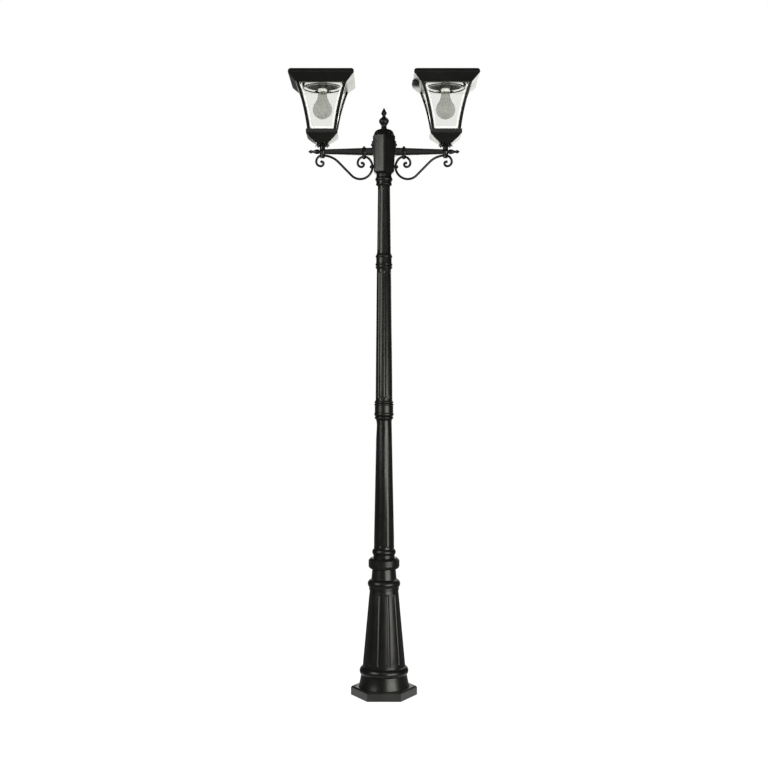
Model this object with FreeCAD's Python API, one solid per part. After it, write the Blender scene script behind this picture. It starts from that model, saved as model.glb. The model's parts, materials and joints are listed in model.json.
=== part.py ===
import FreeCAD, Part
import math
import os

# Garden lamp post with two lanterns, in millimetres. The origin is on the ground under the post's
# axis, +Z is up, and the arms lie along X.

V = FreeCAD.Vector
UP = V(0, 0, 1)

# Fits
THREAD_FIT = 0.05
HOLE_SLIP = 0.25
SEAT = 0.3

# Hexagonal foot
FOOT_ACROSS_CORNERS = 236.0
FOOT_H = 32.0
FOOT_BEVEL = 5.0
FOOT_OPENING_R = 58.0
ANCHOR_PCD = 203.0
ANCHOR_COUNT = 3
ANCHOR_HOLE_R = 5.5
BASE_SCREW_R = 3.0
BASE_SCREW_HEAD_R = 5.5
BASE_SCREW_HEAD_H = 4.0
BASE_SCREW_RECESS = 10.0
BASE_SCREW_COUNT = 3
BASE_SCREW_CIRCLE_R = 71.0

# Pedestal casting, from the skirt up
SKIRT_H = 42.0
SKIRT_FOOT_R = 91.0
SKIRT_TOP_R = 81.8
SKIRT_HOLLOW = 1.0
LOWER_BEAD_H = 29.0
LOWER_BEAD_R = 87.0
FLUTED_H = 272.0
FLUTED_FOOT_R = 76.0
FLUTED_TOP_R = 51.0
UPPER_BAND_H = 10.0
UPPER_BAND_R = 53.2
UPPER_BEAD_H = 28.0
UPPER_BEAD_R = 58.0
NECK_H = 36.0
NECK_FOOT_R = 45.0
NECK_TOP_R = 42.0
PEDESTAL_WALL = 6.0
PEDESTAL_FLANGE_H = 8.0
PEDESTAL_FLUTES = 12
PEDESTAL_FLUTE_R = 7.0
PEDESTAL_FLUTE_DEPTH = 2.6
PEDESTAL_FLUTE_END = 10.0

# Rounded collar between pedestal and pole
COLLAR_H = 39.5
COLLAR_R = 55.2
COLLAR_FOOT_R = 43.0
COLLAR_TOP_R = 48.0
COLLAR_FOOT_ROUND = 12.0
COLLAR_TOP_SLOPE = 8.0

# Pole sections and the turned rings between them. A bead is its middle and half height, as shares of
# the ring's height, and the offsets of its root and crest from the ring's radius.
LOWER_POLE_H = 489.0
LOWER_POLE_FOOT_R = 36.6
LOWER_POLE_TOP_R = 27.4
POLE_BEAD_H = 32.0
POLE_BEAD_R = 42.2
POLE_BEAD_RISE = 11.0
POLE_FOOT_LIP = 1.5
LOWER_COUPLER_H = 71.5
LOWER_COUPLER_R = 32.8
LOWER_COUPLER_BEADS = ((0.145, 0.06, -1.8, 0.8), (0.32, 0.08, 0.0, 2.0), (0.80, 0.05, 0.0, 1.9),
                       (0.92, 0.05, -0.6, 1.2))
MIDDLE_POLE_H = 467.5
MIDDLE_POLE_FOOT_R = 29.9
MIDDLE_POLE_TOP_R = 25.8
UPPER_COUPLER_H = 57.0
UPPER_COUPLER_R = 27.8
UPPER_COUPLER_BEADS = ((0.125, 0.05, 0.6, 2.9), (0.31, 0.08, 0.4, 3.2), (0.81, 0.09, 0.0, 2.5))
UPPER_POLE_H = 239.0
UPPER_POLE_FOOT_R = 24.8
UPPER_POLE_TOP_R = 22.0
HUB_NECK_H = 43.5
HUB_NECK_R = 27.6
HUB_NECK_BEADS = ((0.17, 0.07, -0.1, 1.4), (0.58, 0.17, 0.2, 3.8))
RING_FOOT_LIP = 0.4
RING_TOP_LIP = 1.3
POLE_WALL = 4.0
POLE_FLUTES = 8
POLE_FLUTE_R = 14.0
POLE_FLUTE_DEPTH = 1.2
POLE_FLUTE_END = 8.0
LOWER_FLUTE_TURN = 22.5
MIDDLE_FLUTE_TURN = 7.5
UPPER_FLUTE_TURN = 2.5
NIPPLE_R = 13.35
NIPPLE_WALL = 2.9
NIPPLE_GRIP = 25.0
NIPPLE_LAND = 30.0

# Six-sided hub with flat sides towards the arms
HUB_FLARE_H = 7.5
HUB_BODY_H = 126.5
HUB_FLARE_FLATS = 55.0
HUB_FOOT_FLATS = 73.0
HUB_TOP_FLATS = 79.6
HUB_EDGE_BEVEL = 2.6
HUB_BORE_R = 30.0
HUB_FLOOR = 20.0
PANEL_W = 37.0
PANEL_MARGIN = 4.5
PANEL_PROUD = 1.6
PANEL_BEVEL = 6.0
PANEL_SINK = 0.6
CAP_H = 26.0
CAP_R = 38.5
CAP_SHOULDER_R = 31.4
CAP_TOP_R = 21.0
CAP_WALL = 6.0
CAP_SPIGOT_H = 6.0
CAP_SHOULDER_H = 15.5
CAP_ROUND = 2.4
FINIAL_H = 78.0
FINIAL_STUD_R = 4.0
FINIAL_FOOT_R = 12.2
FINIAL_FOOT_H = 3.0
FINIAL_WAIST_R = 9.9
FINIAL_WAIST_Z = 8.0
FINIAL_BULB_FOOT_Z = 15.0
FINIAL_BULB_R = 18.6
FINIAL_BULB_ROUND = 8.0
FINIAL_BULB_Z = 29.5
FINIAL_NECK_R = 5.3
FINIAL_NECK_Z = 46.6
FINIAL_NECK_H = 1.4
FINIAL_SPINDLE_R = 10.8
FINIAL_SPINDLE_ROUND = 3.0
FINIAL_SPINDLE_Z = 57.5

# Arms
ARM_DROP = 53.0
ARM_PAD_X = 40.2
ARM_PAD_W = 32.0
FLANGE_RISE = 36.0
FLANGE_DROP = 14.6
FLANGE_T = 3.0
FLANGE_W = 28.0
ARM_ROOT_H = 27.6
ARM_ROOT_W = 20.5
ARM_TIP_H = 16.8
ARM_TIP_W = 13.0
ARM_BEVEL_SHARE = 0.22
ARM_SCREW_R = 2.5
ARM_SCREW_HEAD_R = 5.0
ARM_SCREW_HEAD_H = 3.5
ARM_SCREW_RISE = 24.5
ARM_SCREW_GRIP = 7.0
BOLT_X = 71.0
BOLT_BOSS_R = 13.5
BOLT_BOSS_END_R = 7.0
BOLT_BOSS_RISE = 14.0
BOLT_BOSS_DROP = 13.6
STEM_X = 219.5
END_BOSS_R = 12.6
END_BOSS_END_R = 9.8
END_BOSS_RISE = 9.0
END_BOSS_DROP = 9.0
SPEAR_BULGE_R = 8.5
SPEAR_BULGE_ROUND = 3.4
SPEAR_BULGE_L = 20.5
SPEAR_WAIST_R = 3.8
SPEAR_HEAD_R = 6.9
SPEAR_HEAD_L = 17.5
SPEAR_HEAD_WIDEST = 7.8
SPEAR_LAP = 1.0
SPEAR_GROOVE = 2.0

# Scrolls of round rod, with ball ends and flattened eyes for their fasteners
ROD_R = 4.2
BALL_R = 5.2
SCROLL_SCREW_DROP = 107.0
SCROLL_BELLY_R = 43.5
SCROLL_RISE_R = 80.0
SCROLL_BLEND = 45.0
INNER_CURL = ((23.0, 90), (13.5, 90), (8.7, 90), (5.6, 100))
OUTER_CURL = ((22.3, 90), (16.0, 90), (10.0, 90), (6.0, 100))
HUB_EYE_R = 6.0
EYE_LIP = 1.8
SCROLL_SCREW_R = 2.0
SCROLL_SCREW_HEAD_R = 5.0
SCROLL_SCREW_HEAD_H = 4.0
SCROLL_SCREW_GRIP = 5.0
BOLT_R = 2.5
BOLT_HEAD_R = 4.8
BOLT_HEAD_H = 5.8
ACORN_R = 5.5
ACORN_H = 3.4
HEAD_RIM = 1.0

# Stem under each lantern
STEM_R = 9.8
STEM_SHANK_R = 5.0
STEM_SPIGOT_R = 7.0
STEM_SPIGOT_H = 30.0
STEM_SHOULDER_H = 9.1
STEM_NUT_R = 9.2
STEM_NUT_H = 3.2
STEM_NUT_SHOW = 1.0

# Fitter with its leaf edge
FITTER_NECK_R = 11.0
FITTER_NECK_H = 2.7
FITTER_LEAF_R = 23.0
FITTER_LEAF_H = 8.5
FITTER_LEAVES = 8
LEAF_ROOT_X = 14.0
LEAF_ROOT_R = 4.2
LEAF_TIP_X = 25.0
LEAF_TIP_R = 0.5
LEAF_DROOP = 2.5
FITTER_SLEEVE_R = 11.0
FITTER_SLEEVE_H = 14.0
FITTER_LEAF_CUP = 4.0
SET_SCREW_R = 2.0
SET_SCREW_COUNT = 3

# Bowl
BOWL_H = 42.0
BOWL_FOOT_HALF = 24.0
BOWL_BAND_HALF = 56.0
BOWL_BAND_H = 14.0
BOWL_BULGE = 1.6
BOWL_WALL = 2.5
BOWL_LEDGE = 3.5

# Flared cage and its panes
CAGE_H = 158.4
CAGE_FOOT_HALF = 52.0
CAGE_TOP_HALF = 89.0
CAGE_BOW = 4.5
CAGE_WALL = 3.0
POST_W = 10.5
CAGE_HEAD_H = 2.0
CAGE_HEAD_W = 18.0
CAGE_FRAME_H = 9.0
CAGE_FRAME_W = 9.0
PANE_T = 3.0
PANE_GAP = 0.3
PANE_BEVEL_W = 8.0
PANE_BEVEL_T = 1.2
PANE_STEPS = 6

# Roof with its solar panel
ROOF_FASCIA_H = 25.5
ROOF_RIM_H = 16.5
ROOF_LIP = 1.0
ROOF_HALF = 115.0
ROOF_ROUND = 9.0
ROOF_WALL = 5.0
ROOF_PLATE = 7.0
ROOF_FLANGE_T = 3.0
ROOF_FLANGE_W = 20.0
PANEL_HALF = 98.0
SOLAR_T = 3.8
ROOF_SCREW_R = 1.5
ROOF_SCREW_HEAD_R = 3.0
ROOF_SCREW_HEAD_H = 2.2
ROOF_SCREW_INSET = 8.0

# Ceiling plate, lamp holder and what is sealed in the roof
REFLECTOR_T = 1.2
DISH_ROOM = 5.0
DISH_SLOPE = 22.0
DISH_H = 17.8
SOCKET_R = 17.0
SOCKET_DROP = 20.0
SOCKET_RISE = 5.0
SOCKET_FLANGE_R = 22.0
SOCKET_FLANGE_T = 2.0
SOCKET_ROOF_T = 2.0
BATTERY_SIZE = (80.0, 52.0, 14.0)
BOARD_SIZE = (60.0, 40.0, 2.0)
INNER_SPREAD = 45.0
INNER_ROUND = 3.5

# Bulb
BULB_R = 33.5
BULB_NECK_R = 15.0
BULB_SHOULDER = 35.0
BULB_GLASS = 1.5
BULB_NECK_H = 5.3
BULB_COLLAR_R = 16.0
BULB_COLLAR_H = 11.3
BULB_CAP_R = 13.0
BULB_CAP_H = 20.0
BULB_TIP_R = 5.0
BULB_TIP_H = 2.0
BULB_STEM_R = 6.0
BULB_STEM_TIP_R = 3.5
BULB_STEM_H = 56.0

# Switch on one fascia
SWITCH_W = 24.0
SWITCH_H = 21.5
SWITCH_PROUD = 3.0
SWITCH_DROP = 1.5
BUTTON_W = 11.0
BUTTON_H = 9.0
BUTTON_PROUD = 3.0
BUTTON_TRAVEL = 2.0
BUTTON_SINK = 4.0
BUTTON_RISE = 9.0
BUTTON_ROUND = 1.0

# Heights of the joints between the pieces
PEDESTAL_TOP = FOOT_H + SKIRT_H + LOWER_BEAD_H + FLUTED_H + UPPER_BAND_H + UPPER_BEAD_H + NECK_H
COLLAR_TOP = PEDESTAL_TOP + COLLAR_H
LOWER_POLE_TOP = COLLAR_TOP + LOWER_POLE_H
LOWER_COUPLER_TOP = LOWER_POLE_TOP + LOWER_COUPLER_H
MIDDLE_POLE_TOP = LOWER_COUPLER_TOP + MIDDLE_POLE_H
UPPER_COUPLER_TOP = MIDDLE_POLE_TOP + UPPER_COUPLER_H
UPPER_POLE_TOP = UPPER_COUPLER_TOP + UPPER_POLE_H
HUB_FOOT = UPPER_POLE_TOP + HUB_NECK_H
HUB_BODY_FOOT = HUB_FOOT + HUB_FLARE_H
HUB_TOP = HUB_BODY_FOOT + HUB_BODY_H
CAP_TOP = HUB_TOP + CAP_H
ARM_Z = HUB_TOP - ARM_DROP
STEM_SHOULDER_TOP = ARM_Z + END_BOSS_RISE + STEM_SHOULDER_H
FITTER_FOOT = STEM_SHOULDER_TOP + SEAT
BOWL_FOOT = FITTER_FOOT + FITTER_NECK_H + FITTER_LEAF_H
CAGE_FOOT = BOWL_FOOT + BOWL_H
ROOF_FOOT = CAGE_FOOT + CAGE_H
RIM_FOOT = ROOF_FOOT + ROOF_FASCIA_H
ROOF_TOP = RIM_FOOT + ROOF_RIM_H
ROOF_CEILING = ROOF_TOP - ROOF_PLATE
FLANGE_TOP = ROOF_FOOT + ROOF_FLANGE_T
CAGE_HEAD_FOOT = ROOF_FOOT - CAGE_HEAD_H
REFLECTOR_Z = CAGE_HEAD_FOOT - REFLECTOR_T
DISH_Z = REFLECTOR_Z + DISH_H
SOCKET_FOOT = DISH_Z - SOCKET_DROP
SOCKET_TOP = DISH_Z + SOCKET_RISE
BULB_COLLAR_TOP = SOCKET_FOOT - SEAT
BULB_COLLAR_FOOT = BULB_COLLAR_TOP - BULB_COLLAR_H

NIPPLE_BORE_R = NIPPLE_R + THREAD_FIT
EYE_H = 2 * ROD_R + EYE_LIP
ROOF_FOOT_HALF = CAGE_TOP_HALF + ROOF_LIP
SWITCH_REACH = ROOF_HALF + SWITCH_PROUD
PANE_BACK = CAGE_WALL + PANE_GAP + PANE_T
DISH_R = CAGE_TOP_HALF - CAGE_HEAD_W - DISH_ROOM
DISH_TOP_R = DISH_R - DISH_SLOPE


def outline(steps):
    """Closed wire in the XZ plane. A step is a corner, or a pair: a point on an arc and the arc's end."""
    edges = []
    here = V(steps[0][0], 0, steps[0][1])
    for step in steps[1:] + steps[:1]:
        is_arc = isinstance(step[0], tuple)
        end = step[1] if is_arc else step
        there = V(end[0], 0, end[1])
        if is_arc:
            edges.append(Part.Arc(here, V(step[0][0], 0, step[0][1]), there).toShape())
        else:
            edges.append(Part.makeLine(here, there))
        here = there
    return Part.Wire(edges)


def turned(steps):
    """Solid of revolution about Z from an outline of (radius, height) steps."""
    return Part.Face(outline(steps)).revolve(V(), UP, 360)


def beaded(foot, height, foot_r, radius, beads, top_r):
    """Outer steps of a turned ring with its beads."""
    steps = [(foot_r, foot)]
    for middle, half, root, crest in beads:
        root_r = radius + root
        steps.append((root_r, foot + (middle - half) * height))
        steps.append(((radius + crest, foot + middle * height), (root_r, foot + (middle + half) * height)))
    return steps + [(top_r, foot + height)]


def crown(radius, foot, top):
    """Step along a round dome from its edge at foot to its top on the axis."""
    rise = top - foot
    sphere = (radius ** 2 + rise ** 2) / (2 * rise)
    middle = math.copysign(math.sqrt(sphere ** 2 - radius ** 2 / 4), sphere)
    return ((radius / 2, top - sphere + middle), (0, top))


def swell(start, crest, rounding, end):
    """Steps from a start below to an end above, straight up to a rounded crest and straight off it."""
    centre = (crest[0] - rounding, crest[1])
    touch = []
    for point, way in ((start, 1), (end, -1)):
        out, up = centre[0] - point[0], way * (centre[1] - point[1])
        reach = math.hypot(out, up)
        lean = math.atan2(out, up) + math.asin(rounding / reach)
        run = math.sqrt(reach ** 2 - rounding ** 2)
        touch.append((point[0] + run * math.sin(lean), point[1] + way * run * math.cos(lean)))
    return [start, touch[0], (crest_point(centre, rounding, touch), touch[1]), end]


def crest_point(centre, rounding, touch):
    """Middle of the arc about a centre between two points of its circle."""
    out = touch[0][0] + touch[1][0] - 2 * centre[0]
    up = touch[0][1] + touch[1][1] - 2 * centre[1]
    scale = rounding / math.hypot(out, up)
    return centre[0] + scale * out, centre[1] + scale * up


def rod(radius, foot, top):
    """Round bar along Z between two heights."""
    return Part.makeCylinder(radius, top - foot, V(0, 0, foot))


def block(x, y, z):
    """Box between pairs of limits."""
    return Part.makeBox(x[1] - x[0], y[1] - y[0], z[1] - z[0], V(x[0], y[0], z[0]))


def around(shape, count, turn=0.0):
    """Copies of a shape, evenly spaced about Z."""
    return [shape.rotated(V(), UP, turn + 360.0 * i / count) for i in range(count)]


def both_sides(shape):
    """The right-hand piece and its copy turned to the left."""
    return Part.makeCompound(around(shape, 2))


def hexagon(across_flats, z, turn):
    """Hexagonal wire at a height, with its first corner at an angle."""
    corner = across_flats / math.sqrt(3)
    angles = [math.radians(turn + 60 * i) for i in range(7)]
    return Part.makePolygon([V(corner * math.cos(a), corner * math.sin(a), z) for a in angles])


def rectangle(half_x, half_y, z):
    """Rectangular wire at a height."""
    corners = ((-1, -1), (1, -1), (1, 1), (-1, 1), (-1, -1))
    return Part.makePolygon([V(half_x * sx, half_y * sy, z) for sx, sy in corners])


def frustum(half_foot, foot, half_top, top):
    """Square frustum about Z."""
    wires = [rectangle(half_foot, half_foot, foot), rectangle(half_top, half_top, top)]
    return Part.makeLoft(wires, True, True)


def capsule(start, end, radius):
    """Round-ended bar between the centres of its two ends."""
    length = start.distanceToPoint(end)
    slant = radius * math.sqrt(0.5)
    steps = [(0, -radius), ((slant, -slant), (radius, 0)), (radius, length)]
    steps.append(((slant, length + slant), (0, length + radius)))
    bar = turned(steps)
    bar.Placement = FreeCAD.Placement(start, FreeCAD.Rotation(UP, end.sub(start)))
    return bar


def flutes(foot, top, radius, depth, count, turn):
    """Round-ended groove cutters along a tapering wall from foot to top, both (radius, height)."""
    reach = math.sqrt(radius ** 2 - (radius - depth) ** 2)
    slope = (top[0] - foot[0]) / (top[1] - foot[1])
    out = radius - depth
    start = V(foot[0] + slope * reach + out, 0, foot[1] + reach)
    end = V(top[0] - slope * reach + out, 0, top[1] - reach)
    return around(capsule(start, end, radius), count, turn)


def base_screw_places():
    """Angles of the base screws, between the anchor holes."""
    return [360.0 * i / BASE_SCREW_COUNT for i in range(BASE_SCREW_COUNT)]


def at_angle(shape, radius, angle):
    """Shape moved out along X and turned about Z."""
    return shape.translated(V(radius, 0, 0)).rotated(V(), UP, angle)


def base_plate():
    """Hexagonal foot with corners at the sides, anchor holes at every other corner."""
    flats = FOOT_ACROSS_CORNERS * math.sqrt(3) / 2
    wires = [hexagon(flats, 0, 0), hexagon(flats, FOOT_H - FOOT_BEVEL, 0)]
    wires.append(hexagon(flats - 2 * FOOT_BEVEL, FOOT_H, 0))
    plate = Part.makeLoft(wires, True, True)
    cuts = [rod(FOOT_OPENING_R, 0, FOOT_H)]
    for i in range(ANCHOR_COUNT):
        hole = rod(ANCHOR_HOLE_R, 0, FOOT_H)
        cuts.append(at_angle(hole, ANCHOR_PCD / 2, 180 + 360.0 * i / ANCHOR_COUNT))
    recess = rod(BASE_SCREW_HEAD_R + HOLE_SLIP, 0, BASE_SCREW_RECESS)
    recess = recess.fuse(rod(BASE_SCREW_R + HOLE_SLIP, 0, FOOT_H))
    for angle in base_screw_places():
        cuts.append(at_angle(recess, BASE_SCREW_CIRCLE_R, angle))
    return plate.cut(cuts)


def base_screws():
    """Screws from under the foot into the pedestal's flange."""
    head = rod(BASE_SCREW_HEAD_R, BASE_SCREW_RECESS - BASE_SCREW_HEAD_H, BASE_SCREW_RECESS)
    screw = head.fuse(rod(BASE_SCREW_R, BASE_SCREW_RECESS, FOOT_H + PEDESTAL_FLANGE_H))
    places = base_screw_places()
    return Part.makeCompound([at_angle(screw, BASE_SCREW_CIRCLE_R, angle) for angle in places])


def pedestal():
    """Hollow fluted casting: skirt, bead, tapered body, band, bead and neck."""
    skirt_top = FOOT_H + SKIRT_H
    body_foot = skirt_top + LOWER_BEAD_H
    body_top = body_foot + FLUTED_H
    band_top = body_top + UPPER_BAND_H
    neck_foot = band_top + UPPER_BEAD_H
    skirt_waist = (SKIRT_FOOT_R + SKIRT_TOP_R) / 2 - SKIRT_HOLLOW
    steps = [(SKIRT_FOOT_R, FOOT_H)]
    steps.append(((skirt_waist, FOOT_H + SKIRT_H / 2), (SKIRT_TOP_R, skirt_top)))
    steps.append(((LOWER_BEAD_R, skirt_top + LOWER_BEAD_H / 2), (FLUTED_FOOT_R, body_foot)))
    steps += [(FLUTED_TOP_R, body_top), (UPPER_BAND_R, body_top), (UPPER_BAND_R, band_top)]
    steps.append(((UPPER_BEAD_R, band_top + UPPER_BEAD_H / 2), (NECK_FOOT_R, neck_foot)))
    steps.append((NECK_TOP_R, PEDESTAL_TOP))
    land_foot = PEDESTAL_TOP - NIPPLE_LAND
    flange_top = FOOT_H + PEDESTAL_FLANGE_H
    steps += [(NIPPLE_BORE_R, PEDESTAL_TOP), (NIPPLE_BORE_R, land_foot)]
    steps += [(NECK_FOOT_R - PEDESTAL_WALL, land_foot), (FLUTED_TOP_R - PEDESTAL_WALL, body_top)]
    steps += [(FLUTED_FOOT_R - PEDESTAL_WALL, body_foot), (SKIRT_TOP_R - PEDESTAL_WALL, flange_top)]
    steps += [(FOOT_OPENING_R, flange_top), (FOOT_OPENING_R, FOOT_H)]
    slope = (FLUTED_FOOT_R - FLUTED_TOP_R) / FLUTED_H
    foot = (FLUTED_FOOT_R - slope * PEDESTAL_FLUTE_END, body_foot + PEDESTAL_FLUTE_END)
    top = (FLUTED_TOP_R + slope * PEDESTAL_FLUTE_END, body_top - PEDESTAL_FLUTE_END)
    turn = 180.0 / PEDESTAL_FLUTES
    cuts = flutes(foot, top, PEDESTAL_FLUTE_R, PEDESTAL_FLUTE_DEPTH, PEDESTAL_FLUTES, turn)
    hole = rod(BASE_SCREW_R + THREAD_FIT, FOOT_H, flange_top)
    cuts += [at_angle(hole, BASE_SCREW_CIRCLE_R, angle) for angle in base_screw_places()]
    return turned(steps).cut(cuts)


def pedestal_collar():
    """Ring that caps the pedestal, rounded below and bevelled above."""
    round_foot = PEDESTAL_TOP + COLLAR_FOOT_ROUND
    round_top = COLLAR_TOP - COLLAR_TOP_SLOPE
    turn = math.sqrt(0.5)
    corner = (COLLAR_FOOT_R + turn * (COLLAR_R - COLLAR_FOOT_R), round_foot - turn * COLLAR_FOOT_ROUND)
    steps = [(COLLAR_FOOT_R, PEDESTAL_TOP), (corner, (COLLAR_R, round_foot))]
    steps += [(COLLAR_R, round_top), (COLLAR_TOP_R, COLLAR_TOP)]
    steps += [(NIPPLE_R + HOLE_SLIP, COLLAR_TOP), (NIPPLE_R + HOLE_SLIP, PEDESTAL_TOP)]
    return turned(steps)


def pole(foot, top, foot_r, top_r, outer, flute_turn, flute_foot):
    """Hollow tapering pole with a nipple bore in each end and flutes from flute_foot up."""
    taper = (top_r - foot_r) / (top - foot)
    low = foot + NIPPLE_LAND
    high = top - NIPPLE_LAND
    inner = [(NIPPLE_BORE_R, top), (NIPPLE_BORE_R, high)]
    inner.append((top_r - taper * NIPPLE_LAND - POLE_WALL, high))
    inner.append((foot_r + taper * NIPPLE_LAND - POLE_WALL, low))
    inner += [(NIPPLE_BORE_R, low), (NIPPLE_BORE_R, foot)]
    flute_top = top - POLE_FLUTE_END
    groove_foot = (foot_r + taper * (flute_foot - foot), flute_foot)
    groove_top = (top_r - taper * POLE_FLUTE_END, flute_top)
    cuts = flutes(groove_foot, groove_top, POLE_FLUTE_R, POLE_FLUTE_DEPTH, POLE_FLUTES, flute_turn - 90)
    return turned(outer + inner).cut(cuts)


def lower_pole():
    """Lowest pole section, with a bead at its foot."""
    bead_top = COLLAR_TOP + POLE_BEAD_H
    bead_foot = COLLAR_TOP + POLE_BEAD_RISE
    foot_r = LOWER_POLE_FOOT_R + POLE_FOOT_LIP
    outer = [(foot_r, COLLAR_TOP), (foot_r, bead_foot)]
    outer.append(((POLE_BEAD_R, (bead_foot + bead_top) / 2), (LOWER_POLE_FOOT_R, bead_top)))
    outer.append((LOWER_POLE_TOP_R, LOWER_POLE_TOP))
    foot = bead_top + POLE_FLUTE_END
    return pole(COLLAR_TOP, LOWER_POLE_TOP, LOWER_POLE_FOOT_R, LOWER_POLE_TOP_R, outer,
                LOWER_FLUTE_TURN, foot)


def plain_pole(foot, top, foot_r, top_r, flute_turn):
    """Pole section without a bead."""
    outer = [(foot_r, foot), (top_r, top)]
    return pole(foot, top, foot_r, top_r, outer, flute_turn, foot + POLE_FLUTE_END)


def ring(foot, height, foot_r, radius, beads, top_r):
    """Turned ring around a nipple."""
    bore = NIPPLE_R + HOLE_SLIP
    steps = beaded(foot, height, foot_r, radius, beads, top_r)
    return turned(steps + [(bore, foot + height), (bore, foot)])


def lower_coupler():
    """Ring between the lower and the middle pole."""
    return ring(LOWER_POLE_TOP, LOWER_COUPLER_H, LOWER_POLE_TOP_R + RING_FOOT_LIP, LOWER_COUPLER_R,
                LOWER_COUPLER_BEADS, MIDDLE_POLE_FOOT_R + RING_TOP_LIP)


def upper_coupler():
    """Ring between the middle and the upper pole."""
    return ring(MIDDLE_POLE_TOP, UPPER_COUPLER_H, MIDDLE_POLE_TOP_R + RING_FOOT_LIP, UPPER_COUPLER_R,
                UPPER_COUPLER_BEADS, UPPER_POLE_FOOT_R + RING_TOP_LIP)


def hub_neck():
    """Ring under the hub that flares to the hub's foot."""
    return ring(UPPER_POLE_TOP, HUB_NECK_H, UPPER_POLE_TOP_R + RING_FOOT_LIP, HUB_NECK_R,
                HUB_NECK_BEADS, HUB_FLARE_FLATS / 2 - RING_FOOT_LIP)


def pole_nipples():
    """Threaded tubes that join the sections, one through each ring."""
    spans = [(PEDESTAL_TOP - NIPPLE_GRIP, COLLAR_TOP + NIPPLE_GRIP)]
    spans.append((LOWER_POLE_TOP - NIPPLE_GRIP, LOWER_COUPLER_TOP + NIPPLE_GRIP))
    spans.append((MIDDLE_POLE_TOP - NIPPLE_GRIP, UPPER_COUPLER_TOP + NIPPLE_GRIP))
    spans.append((UPPER_POLE_TOP - NIPPLE_GRIP, HUB_FOOT + HUB_FLOOR))
    tubes = []
    for foot, top in spans:
        tubes.append(rod(NIPPLE_R, foot, top).cut(rod(NIPPLE_R - NIPPLE_WALL, foot, top)))
    return Part.makeCompound(tubes)


def hub_face_x(z):
    """Distance of the hub's flat sides from the axis at a height."""
    share = (z - HUB_BODY_FOOT) / HUB_BODY_H
    return (HUB_FOOT_FLATS + share * (HUB_TOP_FLATS - HUB_FOOT_FLATS)) / 2


def hub_panel():
    """Raised bevelled panel on the side that faces +X, sunk a little into the wall."""
    half_h = HUB_BODY_H / 2 - PANEL_MARGIN
    wires = [rectangle(half_h, PANEL_W / 2, -PANEL_SINK)]
    wires.append(rectangle(half_h - PANEL_BEVEL, PANEL_W / 2 - PANEL_BEVEL, PANEL_PROUD))
    lean = math.degrees(math.atan((HUB_TOP_FLATS - HUB_FOOT_FLATS) / 2 / HUB_BODY_H))
    panel = Part.makeLoft(wires, True, True).rotated(V(), V(0, 1, 0), 90 + lean)
    middle = HUB_BODY_FOOT + HUB_BODY_H / 2
    return panel.translated(V(hub_face_x(middle), 0, middle))


def hub():
    """Six-sided casting with a bore, panels on four sides and a flat pad for each arm."""
    wires = [hexagon(HUB_FLARE_FLATS, HUB_FOOT, 30), hexagon(HUB_FOOT_FLATS, HUB_BODY_FOOT, 30)]
    wires.append(hexagon(HUB_TOP_FLATS, HUB_TOP, 30))
    body = Part.makeLoft(wires, True, True)
    middle = (HUB_BODY_FOOT + HUB_TOP) / 2
    upright = [e for e in body.Edges if abs(e.CenterOfMass.z - middle) < 1.0]
    body = body.makeChamfer(HUB_EDGE_BEVEL, upright)
    panels = [hub_panel().rotated(V(), UP, angle) for angle in (60, 120, 240, 300)]
    pad_z = (ARM_Z - FLANGE_DROP - SEAT, ARM_Z + FLANGE_RISE + SEAT)
    pad = block((HUB_BORE_R, ARM_PAD_X), (-ARM_PAD_W / 2, ARM_PAD_W / 2), pad_z)
    body = body.fuse(panels + around(pad, 2))
    floor = HUB_FOOT + HUB_FLOOR
    cuts = [rod(HUB_BORE_R, floor, HUB_TOP), rod(NIPPLE_BORE_R, HUB_FOOT, floor)]
    pad_hole = (ARM_SCREW_R + THREAD_FIT, ARM_PAD_X - ARM_SCREW_GRIP, ARM_PAD_X)
    cuts += around(side_rod(*pad_hole, ARM_Z + ARM_SCREW_RISE), 2)
    screw_z = HUB_TOP - SCROLL_SCREW_DROP
    face = scroll_seat_x()
    cuts += around(side_rod(SCROLL_SCREW_R + THREAD_FIT, face - SCROLL_SCREW_GRIP, face, screw_z), 2)
    return body.cut(cuts)


def side_rod(radius, inner, outer, z):
    """Round bar along X at a height."""
    return Part.makeCylinder(radius, outer - inner, V(inner, 0, z), V(1, 0, 0))


def hub_cap():
    """Domed lid with a spigot in the hub's bore."""
    spigot = HUB_BORE_R - THREAD_FIT
    shoulder = HUB_TOP + CAP_SHOULDER_H
    run, rise = CAP_SHOULDER_R - CAP_TOP_R, CAP_TOP - shoulder
    round_r = CAP_SHOULDER_R - run / 2 + CAP_ROUND * rise / math.hypot(run, rise)
    round_z = shoulder + rise / 2 + CAP_ROUND * run / math.hypot(run, rise)
    steps = [(CAP_R, HUB_TOP), (CAP_SHOULDER_R, shoulder), ((round_r, round_z), (CAP_TOP_R, CAP_TOP))]
    steps += [(FINIAL_STUD_R + THREAD_FIT, CAP_TOP), (FINIAL_STUD_R + THREAD_FIT, CAP_TOP - CAP_WALL)]
    steps += [(spigot - CAP_WALL, HUB_TOP), (spigot - CAP_WALL, HUB_TOP - CAP_SPIGOT_H)]
    steps += [(spigot, HUB_TOP - CAP_SPIGOT_H), (spigot, HUB_TOP)]
    return turned(steps)


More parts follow.
